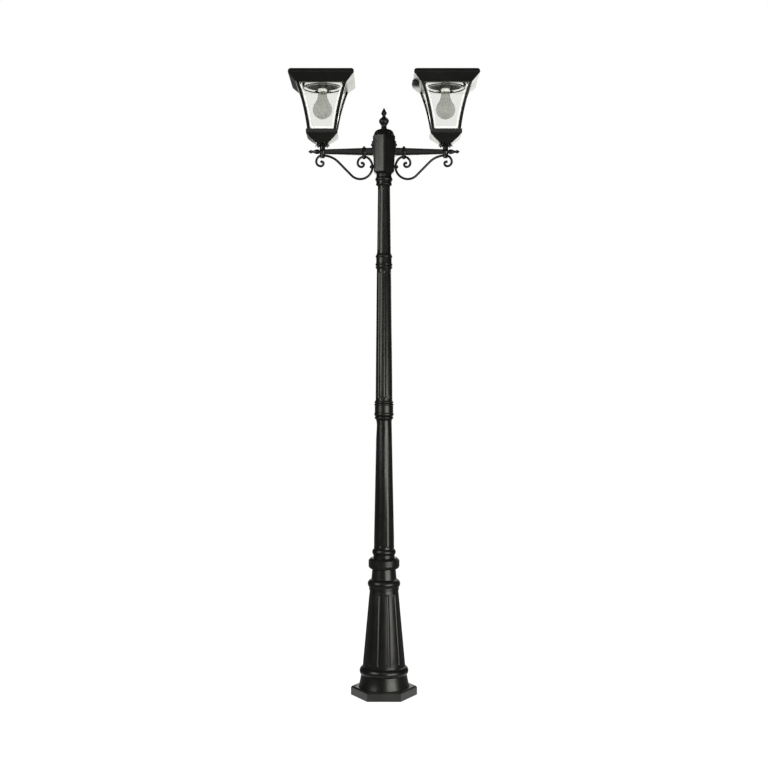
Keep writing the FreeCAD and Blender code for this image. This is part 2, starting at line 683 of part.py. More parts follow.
def finial():
    """Turned spike with a stud that screws into the cap."""
    stud_foot = CAP_TOP - CAP_WALL
    steps = [(0, stud_foot), (FINIAL_STUD_R, stud_foot), (FINIAL_STUD_R, CAP_TOP), (FINIAL_FOOT_R, CAP_TOP)]
    steps += [(FINIAL_FOOT_R, CAP_TOP + FINIAL_FOOT_H), (FINIAL_WAIST_R, CAP_TOP + FINIAL_WAIST_Z)]
    bulb_foot = (FINIAL_WAIST_R, CAP_TOP + FINIAL_BULB_FOOT_Z)
    bulb_crest = (FINIAL_BULB_R, CAP_TOP + FINIAL_BULB_Z)
    neck_z = CAP_TOP + FINIAL_NECK_Z
    steps += swell(bulb_foot, bulb_crest, FINIAL_BULB_ROUND, (FINIAL_NECK_R, neck_z))
    spindle_crest = (FINIAL_SPINDLE_R, CAP_TOP + FINIAL_SPINDLE_Z)
    tip = (0, CAP_TOP + FINIAL_H)
    steps += swell((FINIAL_NECK_R, neck_z + FINIAL_NECK_H), spindle_crest, FINIAL_SPINDLE_ROUND, tip)
    return turned(steps)


def arm_section(x, height, width):
    """Bevelled rectangular wire across the arm."""
    bevel = ARM_BEVEL_SHARE * height
    y = width / 2
    z = height / 2
    corners = [(y, z - bevel), (y - bevel, z), (bevel - y, z), (-y, z - bevel)]
    corners += [(-y, bevel - z), (bevel - y, -z), (y - bevel, -z), (y, bevel - z)]
    return Part.makePolygon([V(x, cy, ARM_Z + cz) for cy, cz in corners + corners[:1]])


def spear():
    """Bulge and pointed head at the arm's tip, turned about the arm's axis."""
    foot = STEM_X + END_BOSS_R - SPEAR_LAP
    waist = foot + SPEAR_BULGE_L
    head = waist + SPEAR_GROOVE
    tip = head + SPEAR_HEAD_L
    crest = (SPEAR_BULGE_R, (foot + waist) / 2)
    steps = [(0, foot)]
    steps += swell((ARM_TIP_H / 2, foot), crest, SPEAR_BULGE_ROUND, (SPEAR_WAIST_R + SPEAR_LAP, waist))
    steps += [(SPEAR_WAIST_R, head), (SPEAR_HEAD_R, head + SPEAR_HEAD_WIDEST), (0, tip)]
    return turned(steps).rotated(V(), V(0, 1, 0), 90).translated(V(0, 0, ARM_Z))


def boss(x, radius, end_r, drop, rise):
    """Upright boss of the arm at a distance from the axis, widest at the arm's middle."""
    steps = [(0, ARM_Z - drop), (end_r, ARM_Z - drop), (radius, ARM_Z), (end_r, ARM_Z + rise)]
    return turned(steps + [(0, ARM_Z + rise)]).translated(V(x, 0, 0))


def arm():
    """Right arm: flange, tapered bar, bolt boss, end boss and spear."""
    root = ARM_PAD_X + FLANGE_T
    half_w = FLANGE_W / 2
    flange = block((ARM_PAD_X, root), (-half_w, half_w), (ARM_Z - FLANGE_DROP, ARM_Z + FLANGE_RISE))
    bar = [arm_section(root, ARM_ROOT_H, ARM_ROOT_W), arm_section(STEM_X, ARM_TIP_H, ARM_TIP_W)]
    bar = Part.makeLoft(bar, True, True)
    bolt_z = (ARM_Z - BOLT_BOSS_DROP, ARM_Z + BOLT_BOSS_RISE)
    stem_z = (ARM_Z - END_BOSS_DROP, ARM_Z + END_BOSS_RISE)
    bosses = [boss(BOLT_X, BOLT_BOSS_R, BOLT_BOSS_END_R, BOLT_BOSS_DROP, BOLT_BOSS_RISE)]
    bosses.append(boss(STEM_X, END_BOSS_R, END_BOSS_END_R, END_BOSS_DROP, END_BOSS_RISE))
    cuts = [rod(BOLT_R + HOLE_SLIP, *bolt_z).translated(V(BOLT_X, 0, 0))]
    cuts.append(rod(STEM_SHANK_R + HOLE_SLIP, *stem_z).translated(V(STEM_X, 0, 0)))
    cuts.append(side_rod(ARM_SCREW_R + HOLE_SLIP, ARM_PAD_X, root, ARM_Z + ARM_SCREW_RISE))
    return flange.fuse([bar, spear()] + bosses).cut(cuts).removeSplitter()


def domed_head(radius, height, shank_r, shank_l):
    """Round-head screw along Z, with its seat at zero and its shank below."""
    steps = [(0, -shank_l), (shank_r, -shank_l), (shank_r, 0), (radius, 0), (radius, HEAD_RIM)]
    steps.append(crown(radius, HEAD_RIM, height))
    return turned(steps)


def arm_screws():
    """Round-head screws of the two root flanges."""
    screw = domed_head(ARM_SCREW_HEAD_R, ARM_SCREW_HEAD_H, ARM_SCREW_R, FLANGE_T + ARM_SCREW_GRIP)
    screw = screw.rotated(V(), V(0, 1, 0), 90)
    return both_sides(screw.translated(V(ARM_PAD_X + FLANGE_T, 0, ARM_Z + ARM_SCREW_RISE)))


def scroll_seat_x():
    """Where the scroll's eye rests on the hub: the side leans, so its top edge touches first."""
    return hub_face_x(HUB_TOP - SCROLL_SCREW_DROP + HUB_EYE_R)


def bent_path(start, heading, moves):
    """Edges of a bent centreline in the XZ plane, with its end and last heading.

    A move is a straight length, or a bend of (radius, degrees), to the left when positive."""
    edges = []
    here = V(start[0], 0, start[1])
    for move in moves:
        ahead = V(math.cos(heading), 0, math.sin(heading))
        if not isinstance(move, tuple):
            there = here + ahead * move
            edges.append(Part.makeLine(here, there))
            here = there
            continue
        radius, degrees = move
        side = math.copysign(1, degrees)
        left = V(-math.sin(heading), 0, math.cos(heading)) * side
        centre = here + left * radius
        points = []
        for share in (0.5, 1.0):
            turn = heading + math.radians(degrees) * share
            points.append(centre - V(-math.sin(turn), 0, math.cos(turn)) * side * radius)
        edges.append(Part.Arc(here, points[0], points[1]).toShape())
        here = points[1]
        heading += math.radians(degrees)
    return edges, (here.x, here.z), heading


def scroll_moves():
    """Bends of the right scroll, up and down from where it rests on the hub, and that place."""
    hub_x = scroll_seat_x() + ROD_R
    hub_z = HUB_TOP - SCROLL_SCREW_DROP
    bolt_z = ARM_Z - BOLT_BOSS_DROP - ROD_R
    stem_z = ARM_Z - END_BOSS_DROP - ROD_R
    across = BOLT_X - hub_x
    rise = bolt_z - hub_z
    blend = math.radians(SCROLL_BLEND)
    cos, sin = math.cos(blend), math.sin(blend)
    scale = (1 - cos) * (1 - sin) - cos * sin
    lower = ((1 - sin) * across - cos * rise) / scale
    upper = ((1 - cos) * rise - sin * across) / scale
    up = [(lower, -SCROLL_BLEND), (upper, SCROLL_BLEND - 90)] + [(r, -a) for r, a in INNER_CURL]
    belly = V(hub_x + SCROLL_BELLY_R, 0, hub_z)
    crest = V(STEM_X, 0, stem_z - SCROLL_RISE_R)
    gap = crest - belly
    slant = math.asin((SCROLL_BELLY_R + SCROLL_RISE_R) / gap.Length)
    climb = math.degrees(math.atan2(gap.z, gap.x) + slant)
    run = gap.Length * math.cos(slant)
    down = [(SCROLL_BELLY_R, 90 + climb), run, (SCROLL_RISE_R, -climb)]
    down += [(r, -a) for r, a in OUTER_CURL]
    return (hub_x, hub_z), up, down


def scroll():
    """Right scroll: one bent rod with balls at its ends and eyes at its three fasteners."""
    place, up, down = scroll_moves()
    start, heading = bent_path(place, math.pi / 2, up)[1:]
    back = [(m[0], -m[1]) if isinstance(m, tuple) else m for m in reversed(up)]
    edges, end = bent_path(start, heading + math.pi, back + down)[:2]
    ahead = V(-math.cos(heading), 0, -math.sin(heading))
    section = Part.Wire(Part.makeCircle(ROD_R, V(start[0], 0, start[1]), ahead))
    bar = Part.Wire(edges).makePipeShell([section], True, False)
    balls = [Part.makeSphere(BALL_R, V(x, 0, z)) for x, z in (start, end)]
    bolt_eye = (ARM_Z - BOLT_BOSS_DROP - EYE_H, ARM_Z - BOLT_BOSS_DROP)
    stem_eye = (ARM_Z - END_BOSS_DROP - EYE_H, ARM_Z - END_BOSS_DROP)
    seat = scroll_seat_x()
    eyes = [rod(BOLT_BOSS_END_R, *bolt_eye).translated(V(BOLT_X, 0, 0))]
    eyes.append(rod(END_BOSS_END_R, *stem_eye).translated(V(STEM_X, 0, 0)))
    eyes.append(side_rod(HUB_EYE_R, seat, seat + EYE_H, place[1]))
    holes = [rod(BOLT_R + HOLE_SLIP, *bolt_eye).translated(V(BOLT_X, 0, 0))]
    holes.append(rod(STEM_SHANK_R + HOLE_SLIP, *stem_eye).translated(V(STEM_X, 0, 0)))
    holes.append(side_rod(SCROLL_SCREW_R + HOLE_SLIP, seat, seat + EYE_H, place[1]))
    return bar.fuse(balls + eyes).cut(holes)


def scroll_screws():
    """Round-head screws that hold the scrolls to the hub."""
    grip = EYE_H + SCROLL_SCREW_GRIP
    screw = domed_head(SCROLL_SCREW_HEAD_R, SCROLL_SCREW_HEAD_H, SCROLL_SCREW_R, grip)
    screw = screw.rotated(V(), V(0, 1, 0), 90)
    return both_sides(screw.translated(V(scroll_seat_x() + EYE_H, 0, HUB_TOP - SCROLL_SCREW_DROP)))


def scroll_bolts():
    """Bolts through the arms' bosses and the scrolls' eyes."""
    grip = BOLT_BOSS_RISE + BOLT_BOSS_DROP + EYE_H + ACORN_H / 2
    bolt = domed_head(BOLT_HEAD_R, BOLT_HEAD_H, BOLT_R, grip)
    return both_sides(bolt.translated(V(BOLT_X, 0, ARM_Z + BOLT_BOSS_RISE)))


def scroll_nuts():
    """Acorn nuts under the scrolls' eyes."""
    seat = ARM_Z - BOLT_BOSS_DROP - EYE_H
    bore = BOLT_R + THREAD_FIT
    depth = ACORN_H / 2 + SEAT
    steps = [(bore, seat), (ACORN_R, seat), (ACORN_R, seat - HEAD_RIM)]
    steps += [crown(ACORN_R, seat - HEAD_RIM, seat - ACORN_H), (0, seat - depth), (bore, seat - depth)]
    return both_sides(turned(steps).translated(V(BOLT_X, 0, 0)))


def stem():
    """Right stem: a threaded shank through the arm, a shoulder and the lantern's spigot."""
    nut_foot = ARM_Z - END_BOSS_DROP - EYE_H - STEM_NUT_H
    seat = ARM_Z + END_BOSS_RISE
    steps = [(0, nut_foot - STEM_NUT_SHOW), (STEM_SHANK_R, nut_foot - STEM_NUT_SHOW), (STEM_SHANK_R, seat)]
    steps += [(STEM_R, seat), (STEM_R, STEM_SHOULDER_TOP), (STEM_SPIGOT_R, STEM_SHOULDER_TOP)]
    steps += [(STEM_SPIGOT_R, STEM_SHOULDER_TOP + STEM_SPIGOT_H), (0, STEM_SHOULDER_TOP + STEM_SPIGOT_H)]
    return turned(steps).translated(V(STEM_X, 0, 0))


def stem_nuts():
    """Hexagon nuts that clamp the stems and the scrolls' outer eyes."""
    top = ARM_Z - END_BOSS_DROP - EYE_H
    flats = STEM_NUT_R * math.sqrt(3)
    nut = Part.Face(hexagon(flats, top - STEM_NUT_H, 30)).extrude(V(0, 0, STEM_NUT_H))
    nut = nut.cut(rod(STEM_SHANK_R + THREAD_FIT, top - STEM_NUT_H, top))
    return both_sides(nut.translated(V(STEM_X, 0, 0)))


def set_screw_places():
    """Angles of the set screws."""
    return [30.0 + 360.0 * i / SET_SCREW_COUNT for i in range(SET_SCREW_COUNT)]


def fitter():
    """Socket that turns on the stem: short neck, leaf-edged flange, sleeve into the bowl."""
    bore = STEM_SPIGOT_R + THREAD_FIT
    leaf_foot = FITTER_FOOT + FITTER_NECK_H
    steps = [(bore, FITTER_FOOT), (FITTER_NECK_R, FITTER_FOOT), (FITTER_NECK_R, leaf_foot)]
    cup_r = (FITTER_NECK_R + FITTER_LEAF_R + FITTER_LEAF_CUP) / 2
    cup_z = leaf_foot + (FITTER_LEAF_H - FITTER_LEAF_CUP) / 2
    steps.append(((cup_r, cup_z), (FITTER_LEAF_R, BOWL_FOOT)))
    steps += [(FITTER_SLEEVE_R, BOWL_FOOT), (FITTER_SLEEVE_R, BOWL_FOOT + FITTER_SLEEVE_H)]
    steps.append((bore, BOWL_FOOT + FITTER_SLEEVE_H))
    root = V(LEAF_ROOT_X, 0, BOWL_FOOT - FITTER_LEAF_H / 2)
    reach = V(LEAF_TIP_X, 0, root.z - LEAF_DROOP) - root
    leaf = Part.makeCone(LEAF_ROOT_R, LEAF_TIP_R, reach.Length, root, reach)
    leaves = turned(steps).fuse(around(leaf, FITTER_LEAVES))
    hole = side_rod(SET_SCREW_R + THREAD_FIT, STEM_SPIGOT_R, LEAF_TIP_X + LEAF_TIP_R, set_screw_z())
    return leaves.cut([hole.rotated(V(), UP, angle) for angle in set_screw_places()])


def set_screw_z():
    """Height of the set screws in the fitter's flange."""
    return BOWL_FOOT - FITTER_LEAF_H / 2


def set_screws():
    """Headless screws that hold the fitter on the spigot."""
    screw = side_rod(SET_SCREW_R, STEM_SPIGOT_R + SEAT, FITTER_LEAF_R - FITTER_LEAF_CUP, set_screw_z())
    return Part.makeCompound([screw.rotated(V(), UP, angle) for angle in set_screw_places()])


def bowl_solid(inset, foot, top):
    """Inverted pyramid with slightly bulging sides and an upright band, drawn in by inset."""
    band_foot = CAGE_FOOT - BOWL_BAND_H
    middle = (BOWL_FOOT + band_foot) / 2
    bulge = (BOWL_FOOT_HALF + BOWL_BAND_HALF) / 2 + BOWL_BULGE
    sections = [(BOWL_FOOT_HALF, foot), (bulge, middle), (BOWL_BAND_HALF, band_foot)]
    sections.append((BOWL_BAND_HALF, top))
    return Part.makeLoft([rectangle(h - inset, h - inset, z) for h, z in sections], True, True)


def bowl():
    """Shell under the cage, with a ledge for the cage's foot and a hole for the fitter's sleeve."""
    shell = bowl_solid(0, BOWL_FOOT, CAGE_FOOT)
    ledge_z = CAGE_FOOT - CAGE_FRAME_H
    pocket = BOWL_BAND_HALF - BOWL_WALL
    cuts = [bowl_solid(BOWL_WALL + BOWL_LEDGE, BOWL_FOOT + BOWL_WALL, ledge_z)]
    cuts.append(block((-pocket, pocket), (-pocket, pocket), (ledge_z, CAGE_FOOT)))
    cuts.append(rod(FITTER_SLEEVE_R + THREAD_FIT, BOWL_FOOT, BOWL_FOOT + BOWL_WALL))
    return shell.cut(cuts)


def flare(z):
    """Half width of the cage at a height: an arc that bows towards the axis."""
    run = CAGE_TOP_HALF - CAGE_FOOT_HALF
    chord = math.hypot(run, CAGE_H)
    radius = (chord ** 2 / 4 + CAGE_BOW ** 2) / (2 * CAGE_BOW)
    out = radius - CAGE_BOW
    centre_x = (CAGE_FOOT_HALF + CAGE_TOP_HALF) / 2 + out * CAGE_H / chord
    centre_z = CAGE_FOOT + CAGE_H / 2 - out * run / chord
    return centre_x - math.sqrt(radius ** 2 - (z - centre_z) ** 2)


def flared_slab(inset, low, high):
    """Slab across Y whose sides follow the flare, drawn in by inset."""
    middle = (low + high) / 2
    reach = CAGE_TOP_HALF + POST_W
    a, b, c = (flare(z) - inset for z in (low, middle, high))
    steps = [(a, low), ((b, middle), (c, high)), (-c, high), ((-b, middle), (-a, low))]
    return Part.Face(outline(steps)).translated(V(0, -reach, 0)).extrude(V(0, 2 * reach, 0))


def bell(inset, low, high):
    """Square bell: the flared slab run through both ways."""
    slab = flared_slab(inset, low, high)
    return slab.common(slab.rotated(V(), UP, 90))


def cage():
    """Four bent angle posts between a foot frame and a head frame."""
    shell = bell(0, CAGE_FOOT, ROOF_FOOT).cut(bell(CAGE_WALL, CAGE_FOOT, ROOF_FOOT))
    window = flared_slab(POST_W, CAGE_FOOT, CAGE_HEAD_FOOT)
    posts = shell.cut([window, window.rotated(V(), UP, 90)])
    foot_half = BOWL_BAND_HALF - BOWL_WALL - HOLE_SLIP
    foot = square_ring(foot_half, CAGE_FRAME_W, CAGE_FOOT - CAGE_FRAME_H, CAGE_FOOT)
    head = square_ring(CAGE_TOP_HALF, CAGE_HEAD_W, CAGE_HEAD_FOOT, ROOF_FOOT)
    head = head.common(bell(0, CAGE_HEAD_FOOT, ROOF_FOOT))
    frame = posts.fuse([foot, head])
    return frame.cut(at_screws(rod(ROOF_SCREW_R + HOLE_SLIP, CAGE_HEAD_FOOT, ROOF_FOOT)))


def square_ring(half, width, foot, top):
    """Square frame with a square opening."""
    inner = half - width
    opening = block((-inner, inner), (-inner, inner), (foot, top))
    return block((-half, half), (-half, half), (foot, top)).cut(opening)


def ceiling_half():
    """Half width of the ceiling plate, which fills the space between the panes."""
    return flare(REFLECTOR_Z) - PANE_BACK - PANE_GAP


def at_screws(shape):
    """Copies of a shape at the roof screws, in the ceiling plate's corners."""
    place = ceiling_half() - ROOF_SCREW_INSET
    return around(shape.translated(V(place, place, 0)), 4)


def roof_screws():
    """Round-head screws up through the ceiling plate and the cage's head frame into the roof's flange."""
    screw = domed_head(ROOF_SCREW_HEAD_R, ROOF_SCREW_HEAD_H, ROOF_SCREW_R, FLANGE_TOP - REFLECTOR_Z)
    screw = screw.rotated(V(), V(1, 0, 0), 180).translated(V(0, 0, REFLECTOR_Z))
    return Part.makeCompound(at_screws(screw))


def pane_section(z, is_end):
    """Level outline of the front pane: thin at its edges, where the border is bevelled."""
    outer = CAGE_WALL + PANE_GAP
    half = flare(z) - PANE_BACK - PANE_GAP
    face = outer - flare(z)
    edge = face + PANE_BEVEL_T
    flat = edge if is_end else face
    inner = half - PANE_BEVEL_W
    back = face + PANE_T
    corners = [(-half, edge), (-inner, flat), (inner, flat), (half, edge), (half, back), (-half, back)]
    return Part.makePolygon([V(x, y, z) for x, y in corners + corners[:1]])


def panes():
    """Four bent clear panes with bevelled borders, behind the posts."""
    low = CAGE_FOOT
    high = CAGE_HEAD_FOOT - PANE_GAP
    rise = (high - low - 2 * PANE_BEVEL_W) / PANE_STEPS
    levels = [low + PANE_BEVEL_W + rise * i for i in range(PANE_STEPS + 1)]
    sections = [pane_section(low, True)]
    sections += [pane_section(z, False) for z in levels]
    sections.append(pane_section(high, True))
    return Part.makeCompound(around(Part.makeLoft(sections, True, True), 4))


def roof():
    """Lid with an upright rounded rim, sloping fascias, a foot flange and a recess for the panel."""
    rim = block((-ROOF_HALF, ROOF_HALF), (-ROOF_HALF, ROOF_HALF), (RIM_FOOT, ROOF_TOP))
    top_edges = [e for e in rim.Edges if abs(e.CenterOfMass.z - ROOF_TOP) < 0.01]
    lid = rim.makeFillet(ROOF_ROUND, top_edges).fuse(frustum(ROOF_FOOT_HALF, ROOF_FOOT, ROOF_HALF, RIM_FOOT))
    inner = ROOF_HALF - ROOF_WALL
    slope = (ROOF_HALF - ROOF_FOOT_HALF) / ROOF_FASCIA_H
    flange_half = ROOF_FOOT_HALF + slope * ROOF_FLANGE_T - ROOF_WALL
    cuts = [frustum(flange_half, FLANGE_TOP, inner, RIM_FOOT)]
    cuts.append(block((-inner, inner), (-inner, inner), (RIM_FOOT, ROOF_CEILING)))
    opening = ROOF_FOOT_HALF - ROOF_FLANGE_W
    cuts.append(block((-opening, opening), (-opening, opening), (ROOF_FOOT, FLANGE_TOP)))
    recess = PANEL_HALF + SEAT
    cuts.append(block((-recess, recess), (-recess, recess), (ROOF_TOP - SOLAR_T, ROOF_TOP)))
    cuts += at_screws(rod(ROOF_SCREW_R + THREAD_FIT, ROOF_FOOT, FLANGE_TOP))
    return lid.cut(cuts).removeSplitter()


def solar_panel():
    """Panel that lies in the roof's recess."""
    return block((-PANEL_HALF, PANEL_HALF), (-PANEL_HALF, PANEL_HALF), (ROOF_TOP - SOLAR_T, ROOF_TOP))


def reflector():
    """Polished ceiling plate with a round dish, under the cage's head frame."""
    half = ceiling_half()
    plate = block((-half, half), (-half, half), (REFLECTOR_Z, CAGE_HEAD_FOOT))
    cuts = at_screws(rod(ROOF_SCREW_R + HOLE_SLIP, REFLECTOR_Z, CAGE_HEAD_FOOT))
    plate = plate.cut([rod(DISH_R, REFLECTOR_Z, CAGE_HEAD_FOOT)] + cuts)
    hole = SOCKET_R + HOLE_SLIP
    dish = [(DISH_R, REFLECTOR_Z), (DISH_R + REFLECTOR_T, REFLECTOR_Z + REFLECTOR_T)]
    dish += [(DISH_TOP_R + REFLECTOR_T, DISH_Z), (hole, DISH_Z), (hole, DISH_Z - REFLECTOR_T)]
    dish.append((DISH_TOP_R, DISH_Z - REFLECTOR_T))
    return plate.fuse(turned(dish))


def socket():
    """Lamp holder that hangs by its flange in the dish."""
    bore = BULB_CAP_R + THREAD_FIT
    roof_z = SOCKET_TOP - SOCKET_ROOF_T
    steps = [(bore, SOCKET_FOOT), (SOCKET_R, SOCKET_FOOT), (SOCKET_R, DISH_Z), (SOCKET_FLANGE_R, DISH_Z)]
    steps += [(SOCKET_FLANGE_R, DISH_Z + SOCKET_FLANGE_T), (SOCKET_R, DISH_Z + SOCKET_FLANGE_T)]
    steps += [(SOCKET_R, SOCKET_TOP), (0, SOCKET_TOP), (0, roof_z), (bore, roof_z)]
    return turned(steps)


def hung_box(size, y):
    """Box with rounded upright edges, bonded under the roof's plate."""
    length, width, height = size
    across = (y - width / 2, y + width / 2)
    box = block((-length / 2, length / 2), across, (ROOF_CEILING - height, ROOF_CEILING))
    upright = [e for e in box.Edges if abs(e.tangentAt(e.FirstParameter).z) > 0.9]
    return box.makeFillet(INNER_ROUND, upright)


def battery_pack():
    """Sealed cell pack."""
    return hung_box(BATTERY_SIZE, INNER_SPREAD)


def control_board():
    """Charging board."""
    return hung_box(BOARD_SIZE, -INNER_SPREAD)


def bulb_outline(inset):
    """Steps of the bulb from its tip to its neck: a sphere that runs over into the neck."""
    angle = math.radians(BULB_SHOULDER)
    radius = BULB_R - inset
    blend = (BULB_R * math.cos(angle) - BULB_NECK_R) / (1 - math.cos(angle)) + inset
    neck_r = BULB_NECK_R - inset
    neck_z = BULB_COLLAR_FOOT - BULB_NECK_H
    centre_z = neck_z - (BULB_R * math.sin(angle) + (blend - inset) * math.sin(angle))
    low = -math.pi / 4
    half = angle / 2
    steps = [(0, centre_z - radius)]
    steps.append(((radius * math.cos(low), centre_z + radius * math.sin(low)),
                  (radius * math.cos(angle), centre_z + radius * math.sin(angle))))
    side = neck_r + blend
    steps.append(((side - blend * math.cos(half), neck_z - blend * math.sin(half)), (neck_r, neck_z)))
    return steps + [(neck_r, BULB_COLLAR_FOOT)]


def bulb_glass():
    """Hollow envelope."""
    inner = bulb_outline(BULB_GLASS)
    return turned(bulb_outline(0) + [(0, BULB_COLLAR_FOOT)]).cut(turned(inner + [(0, BULB_COLLAR_FOOT)]))


def bulb_cap():
    """Pale collar and metal screw cap with its contact."""
    cap_top = BULB_COLLAR_TOP + BULB_CAP_H
    steps = [(0, BULB_COLLAR_FOOT), (BULB_COLLAR_R, BULB_COLLAR_FOOT)]
    steps += [(BULB_COLLAR_R, BULB_COLLAR_TOP), (BULB_CAP_R, BULB_COLLAR_TOP), (BULB_CAP_R, cap_top)]
    steps += [(BULB_TIP_R, cap_top), (BULB_TIP_R, cap_top + BULB_TIP_H), (0, cap_top + BULB_TIP_H)]
    return turned(steps)


def bulb_stem():
    """Light stem inside the envelope, tapering downwards."""
    foot = BULB_COLLAR_FOOT - BULB_STEM_H
    steps = [(0, foot), (BULB_STEM_TIP_R, foot), (BULB_STEM_R, BULB_COLLAR_FOOT), (0, BULB_COLLAR_FOOT)]
    return turned(steps)


def fascia_x(z):
    """Half width of the roof's fascia at a height."""
    return ROOF_FOOT_HALF + (ROOF_HALF - ROOF_FOOT_HALF) * (z - ROOF_FOOT) / ROOF_FASCIA_H


def switch_z():
    """Lower and upper limit of the switch on the fascia."""
    top = RIM_FOOT - SWITCH_DROP
    return top - SWITCH_H, top


def switch_body():
    """Wedge on the fascia that faces -X, with a pocket for the button."""
    low, high = switch_z()
    steps = [(-fascia_x(low), low), (-fascia_x(high), high), (-SWITCH_REACH, high), (-SWITCH_REACH, low)]
    wedge = Part.Face(outline(steps)).translated(V(0, -SWITCH_W / 2, 0)).extrude(V(0, SWITCH_W, 0))
    return wedge.cut(button_block(SEAT, BUTTON_TRAVEL + SEAT))


def button_block(room, depth):
    """Button outline with room around it, sunk into the switch and deeper by depth."""
    middle = button_z()
    half_h = BUTTON_H / 2 + room
    half_w = BUTTON_W / 2 + room
    x = (-SWITCH_REACH - BUTTON_PROUD, -SWITCH_REACH + BUTTON_SINK + depth)
    return block(x, (-half_w, half_w), (middle - half_h, middle + half_h))


def button_z():
    """Height of the button: low on the wedge, where it is deepest."""
    return switch_z()[0] + BUTTON_RISE


def switch_button():
    """Push button with rounded front edges."""
    button = button_block(0, 0)
    front = -SWITCH_REACH - BUTTON_PROUD
    edges = [e for e in button.Edges if abs(e.CenterOfMass.x - front) < 0.01]
    return button.makeFillet(BUTTON_ROUND, edges)


def build_post():
    """Nodes that stand still."""
    return {
        "base_plate": base_plate(), "base_screws": base_screws(), "pedestal": pedestal(),
        "pedestal_collar": pedestal_collar(), "lower_pole": lower_pole(), "lower_coupler": lower_coupler(),
        "middle_pole": plain_pole(LOWER_COUPLER_TOP, MIDDLE_POLE_TOP, MIDDLE_POLE_FOOT_R, MIDDLE_POLE_TOP_R,
                                  MIDDLE_FLUTE_TURN),
        "upper_coupler": upper_coupler(),
        "upper_pole": plain_pole(UPPER_COUPLER_TOP, UPPER_POLE_TOP, UPPER_POLE_FOOT_R, UPPER_POLE_TOP_R,
                                 UPPER_FLUTE_TURN),
        "hub_neck": hub_neck(), "hub": hub(), "hub_cap": hub_cap(), "finial": finial(),
        "pole_nipples": pole_nipples(), "arm_screws": arm_screws(), "scroll_bolts": scroll_bolts(),
        "scroll_nuts": scroll_nuts(), "scroll_screws": scroll_screws(), "stem_nuts": stem_nuts(),
    }


def build_arms():
    """Nodes of the two arms: the left ones are the right ones turned about the post."""
    nodes = {}
    for name, shape in (("arm", arm()), ("scroll", scroll()), ("stem", stem())):
        nodes["right_" + name] = shape
        nodes["left_" + name] = shape.rotated(V(), UP, 180)
    return nodes


def build_heads():
    """Nodes of the two lanterns: the left one is a quarter turn round, with its switch at the back."""
    pieces = {
        "fitter": fitter(), "set_screws": set_screws(), "bowl": bowl(), "cage": cage(), "panes": panes(),
        "roof": roof(), "solar_panel": solar_panel(), "reflector": reflector(), "socket": socket(),
        "battery_pack": battery_pack(), "control_board": control_board(), "switch_body": switch_body(),
        "switch_button": switch_button(), "roof_screws": roof_screws(), "bulb_glass": bulb_glass(),
        "bulb_cap": bulb_cap(), "bulb_stem": bulb_stem(),
    }
    nodes = {}
    for name, shape in pieces.items():
        nodes["right_" + name] = shape.translated(V(STEM_X, 0, 0))
        nodes["left_" + name] = shape.rotated(V(), UP, -90).translated(V(-STEM_X, 0, 0))
    return nodes


def main():
    """Writes one file for each node."""
    os.makedirs("parts", exist_ok=True)
    nodes = {**build_post(), **build_arms(), **build_heads()}
    for name, shape in nodes.items():
        solids = shape.Solids
        shape = solids[0] if len(solids) == 1 else Part.makeCompound(solids)
        shape.exportStep("parts/" + name + ".step")
        volume = sum(s.Volume for s in solids)
        print(name, len(solids), "solids", round(volume), "mm3", "valid" if shape.isValid() else "NOT VALID")


main()
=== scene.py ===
# %% [markdown]
# # A garden lamp post with two lanterns
#
# The post is a stack of black cast sections with a pair of square lanterns on scrolled arms. Its
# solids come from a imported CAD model, so this script never has to guess where anything goes. It adds
# what the eye looks for: finishes, smooth turned surfaces, glass, leaves and small hardware.

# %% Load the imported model
import bmesh
import bpy
import json
import math
from mathutils import Matrix, Vector


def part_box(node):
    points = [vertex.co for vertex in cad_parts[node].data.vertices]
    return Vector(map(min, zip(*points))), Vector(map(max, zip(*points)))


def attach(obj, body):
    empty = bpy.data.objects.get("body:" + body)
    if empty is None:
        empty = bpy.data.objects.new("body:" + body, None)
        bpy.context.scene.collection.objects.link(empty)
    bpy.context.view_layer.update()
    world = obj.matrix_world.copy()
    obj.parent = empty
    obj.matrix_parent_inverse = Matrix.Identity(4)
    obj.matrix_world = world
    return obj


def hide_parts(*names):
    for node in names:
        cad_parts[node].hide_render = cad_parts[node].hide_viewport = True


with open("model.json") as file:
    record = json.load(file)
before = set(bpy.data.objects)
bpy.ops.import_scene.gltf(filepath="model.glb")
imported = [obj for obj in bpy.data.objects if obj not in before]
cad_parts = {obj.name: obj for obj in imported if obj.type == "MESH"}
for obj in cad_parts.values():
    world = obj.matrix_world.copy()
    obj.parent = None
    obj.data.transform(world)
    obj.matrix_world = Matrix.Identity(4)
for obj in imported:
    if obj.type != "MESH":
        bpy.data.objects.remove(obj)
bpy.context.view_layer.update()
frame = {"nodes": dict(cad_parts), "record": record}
scene = bpy.context.scene

# %% [markdown]
# ## Camera
#
# The photograph was taken level, at about half the height of the post, so upright lines stay upright.
# A long lens far away or a short lens close by would give the same height in the picture. What tells
# them apart is how much of the roofs' undersides shows, and that fixes the distance.

# %% Camera
PICTURE_SIDE = 768
SENSOR_WIDTH = 36.0
EYE_DISTANCE = 4.28
EYE_HEIGHT = 1.108
FOCAL_PIXELS = 1199.0
VIEW_LIMIT = 200.0

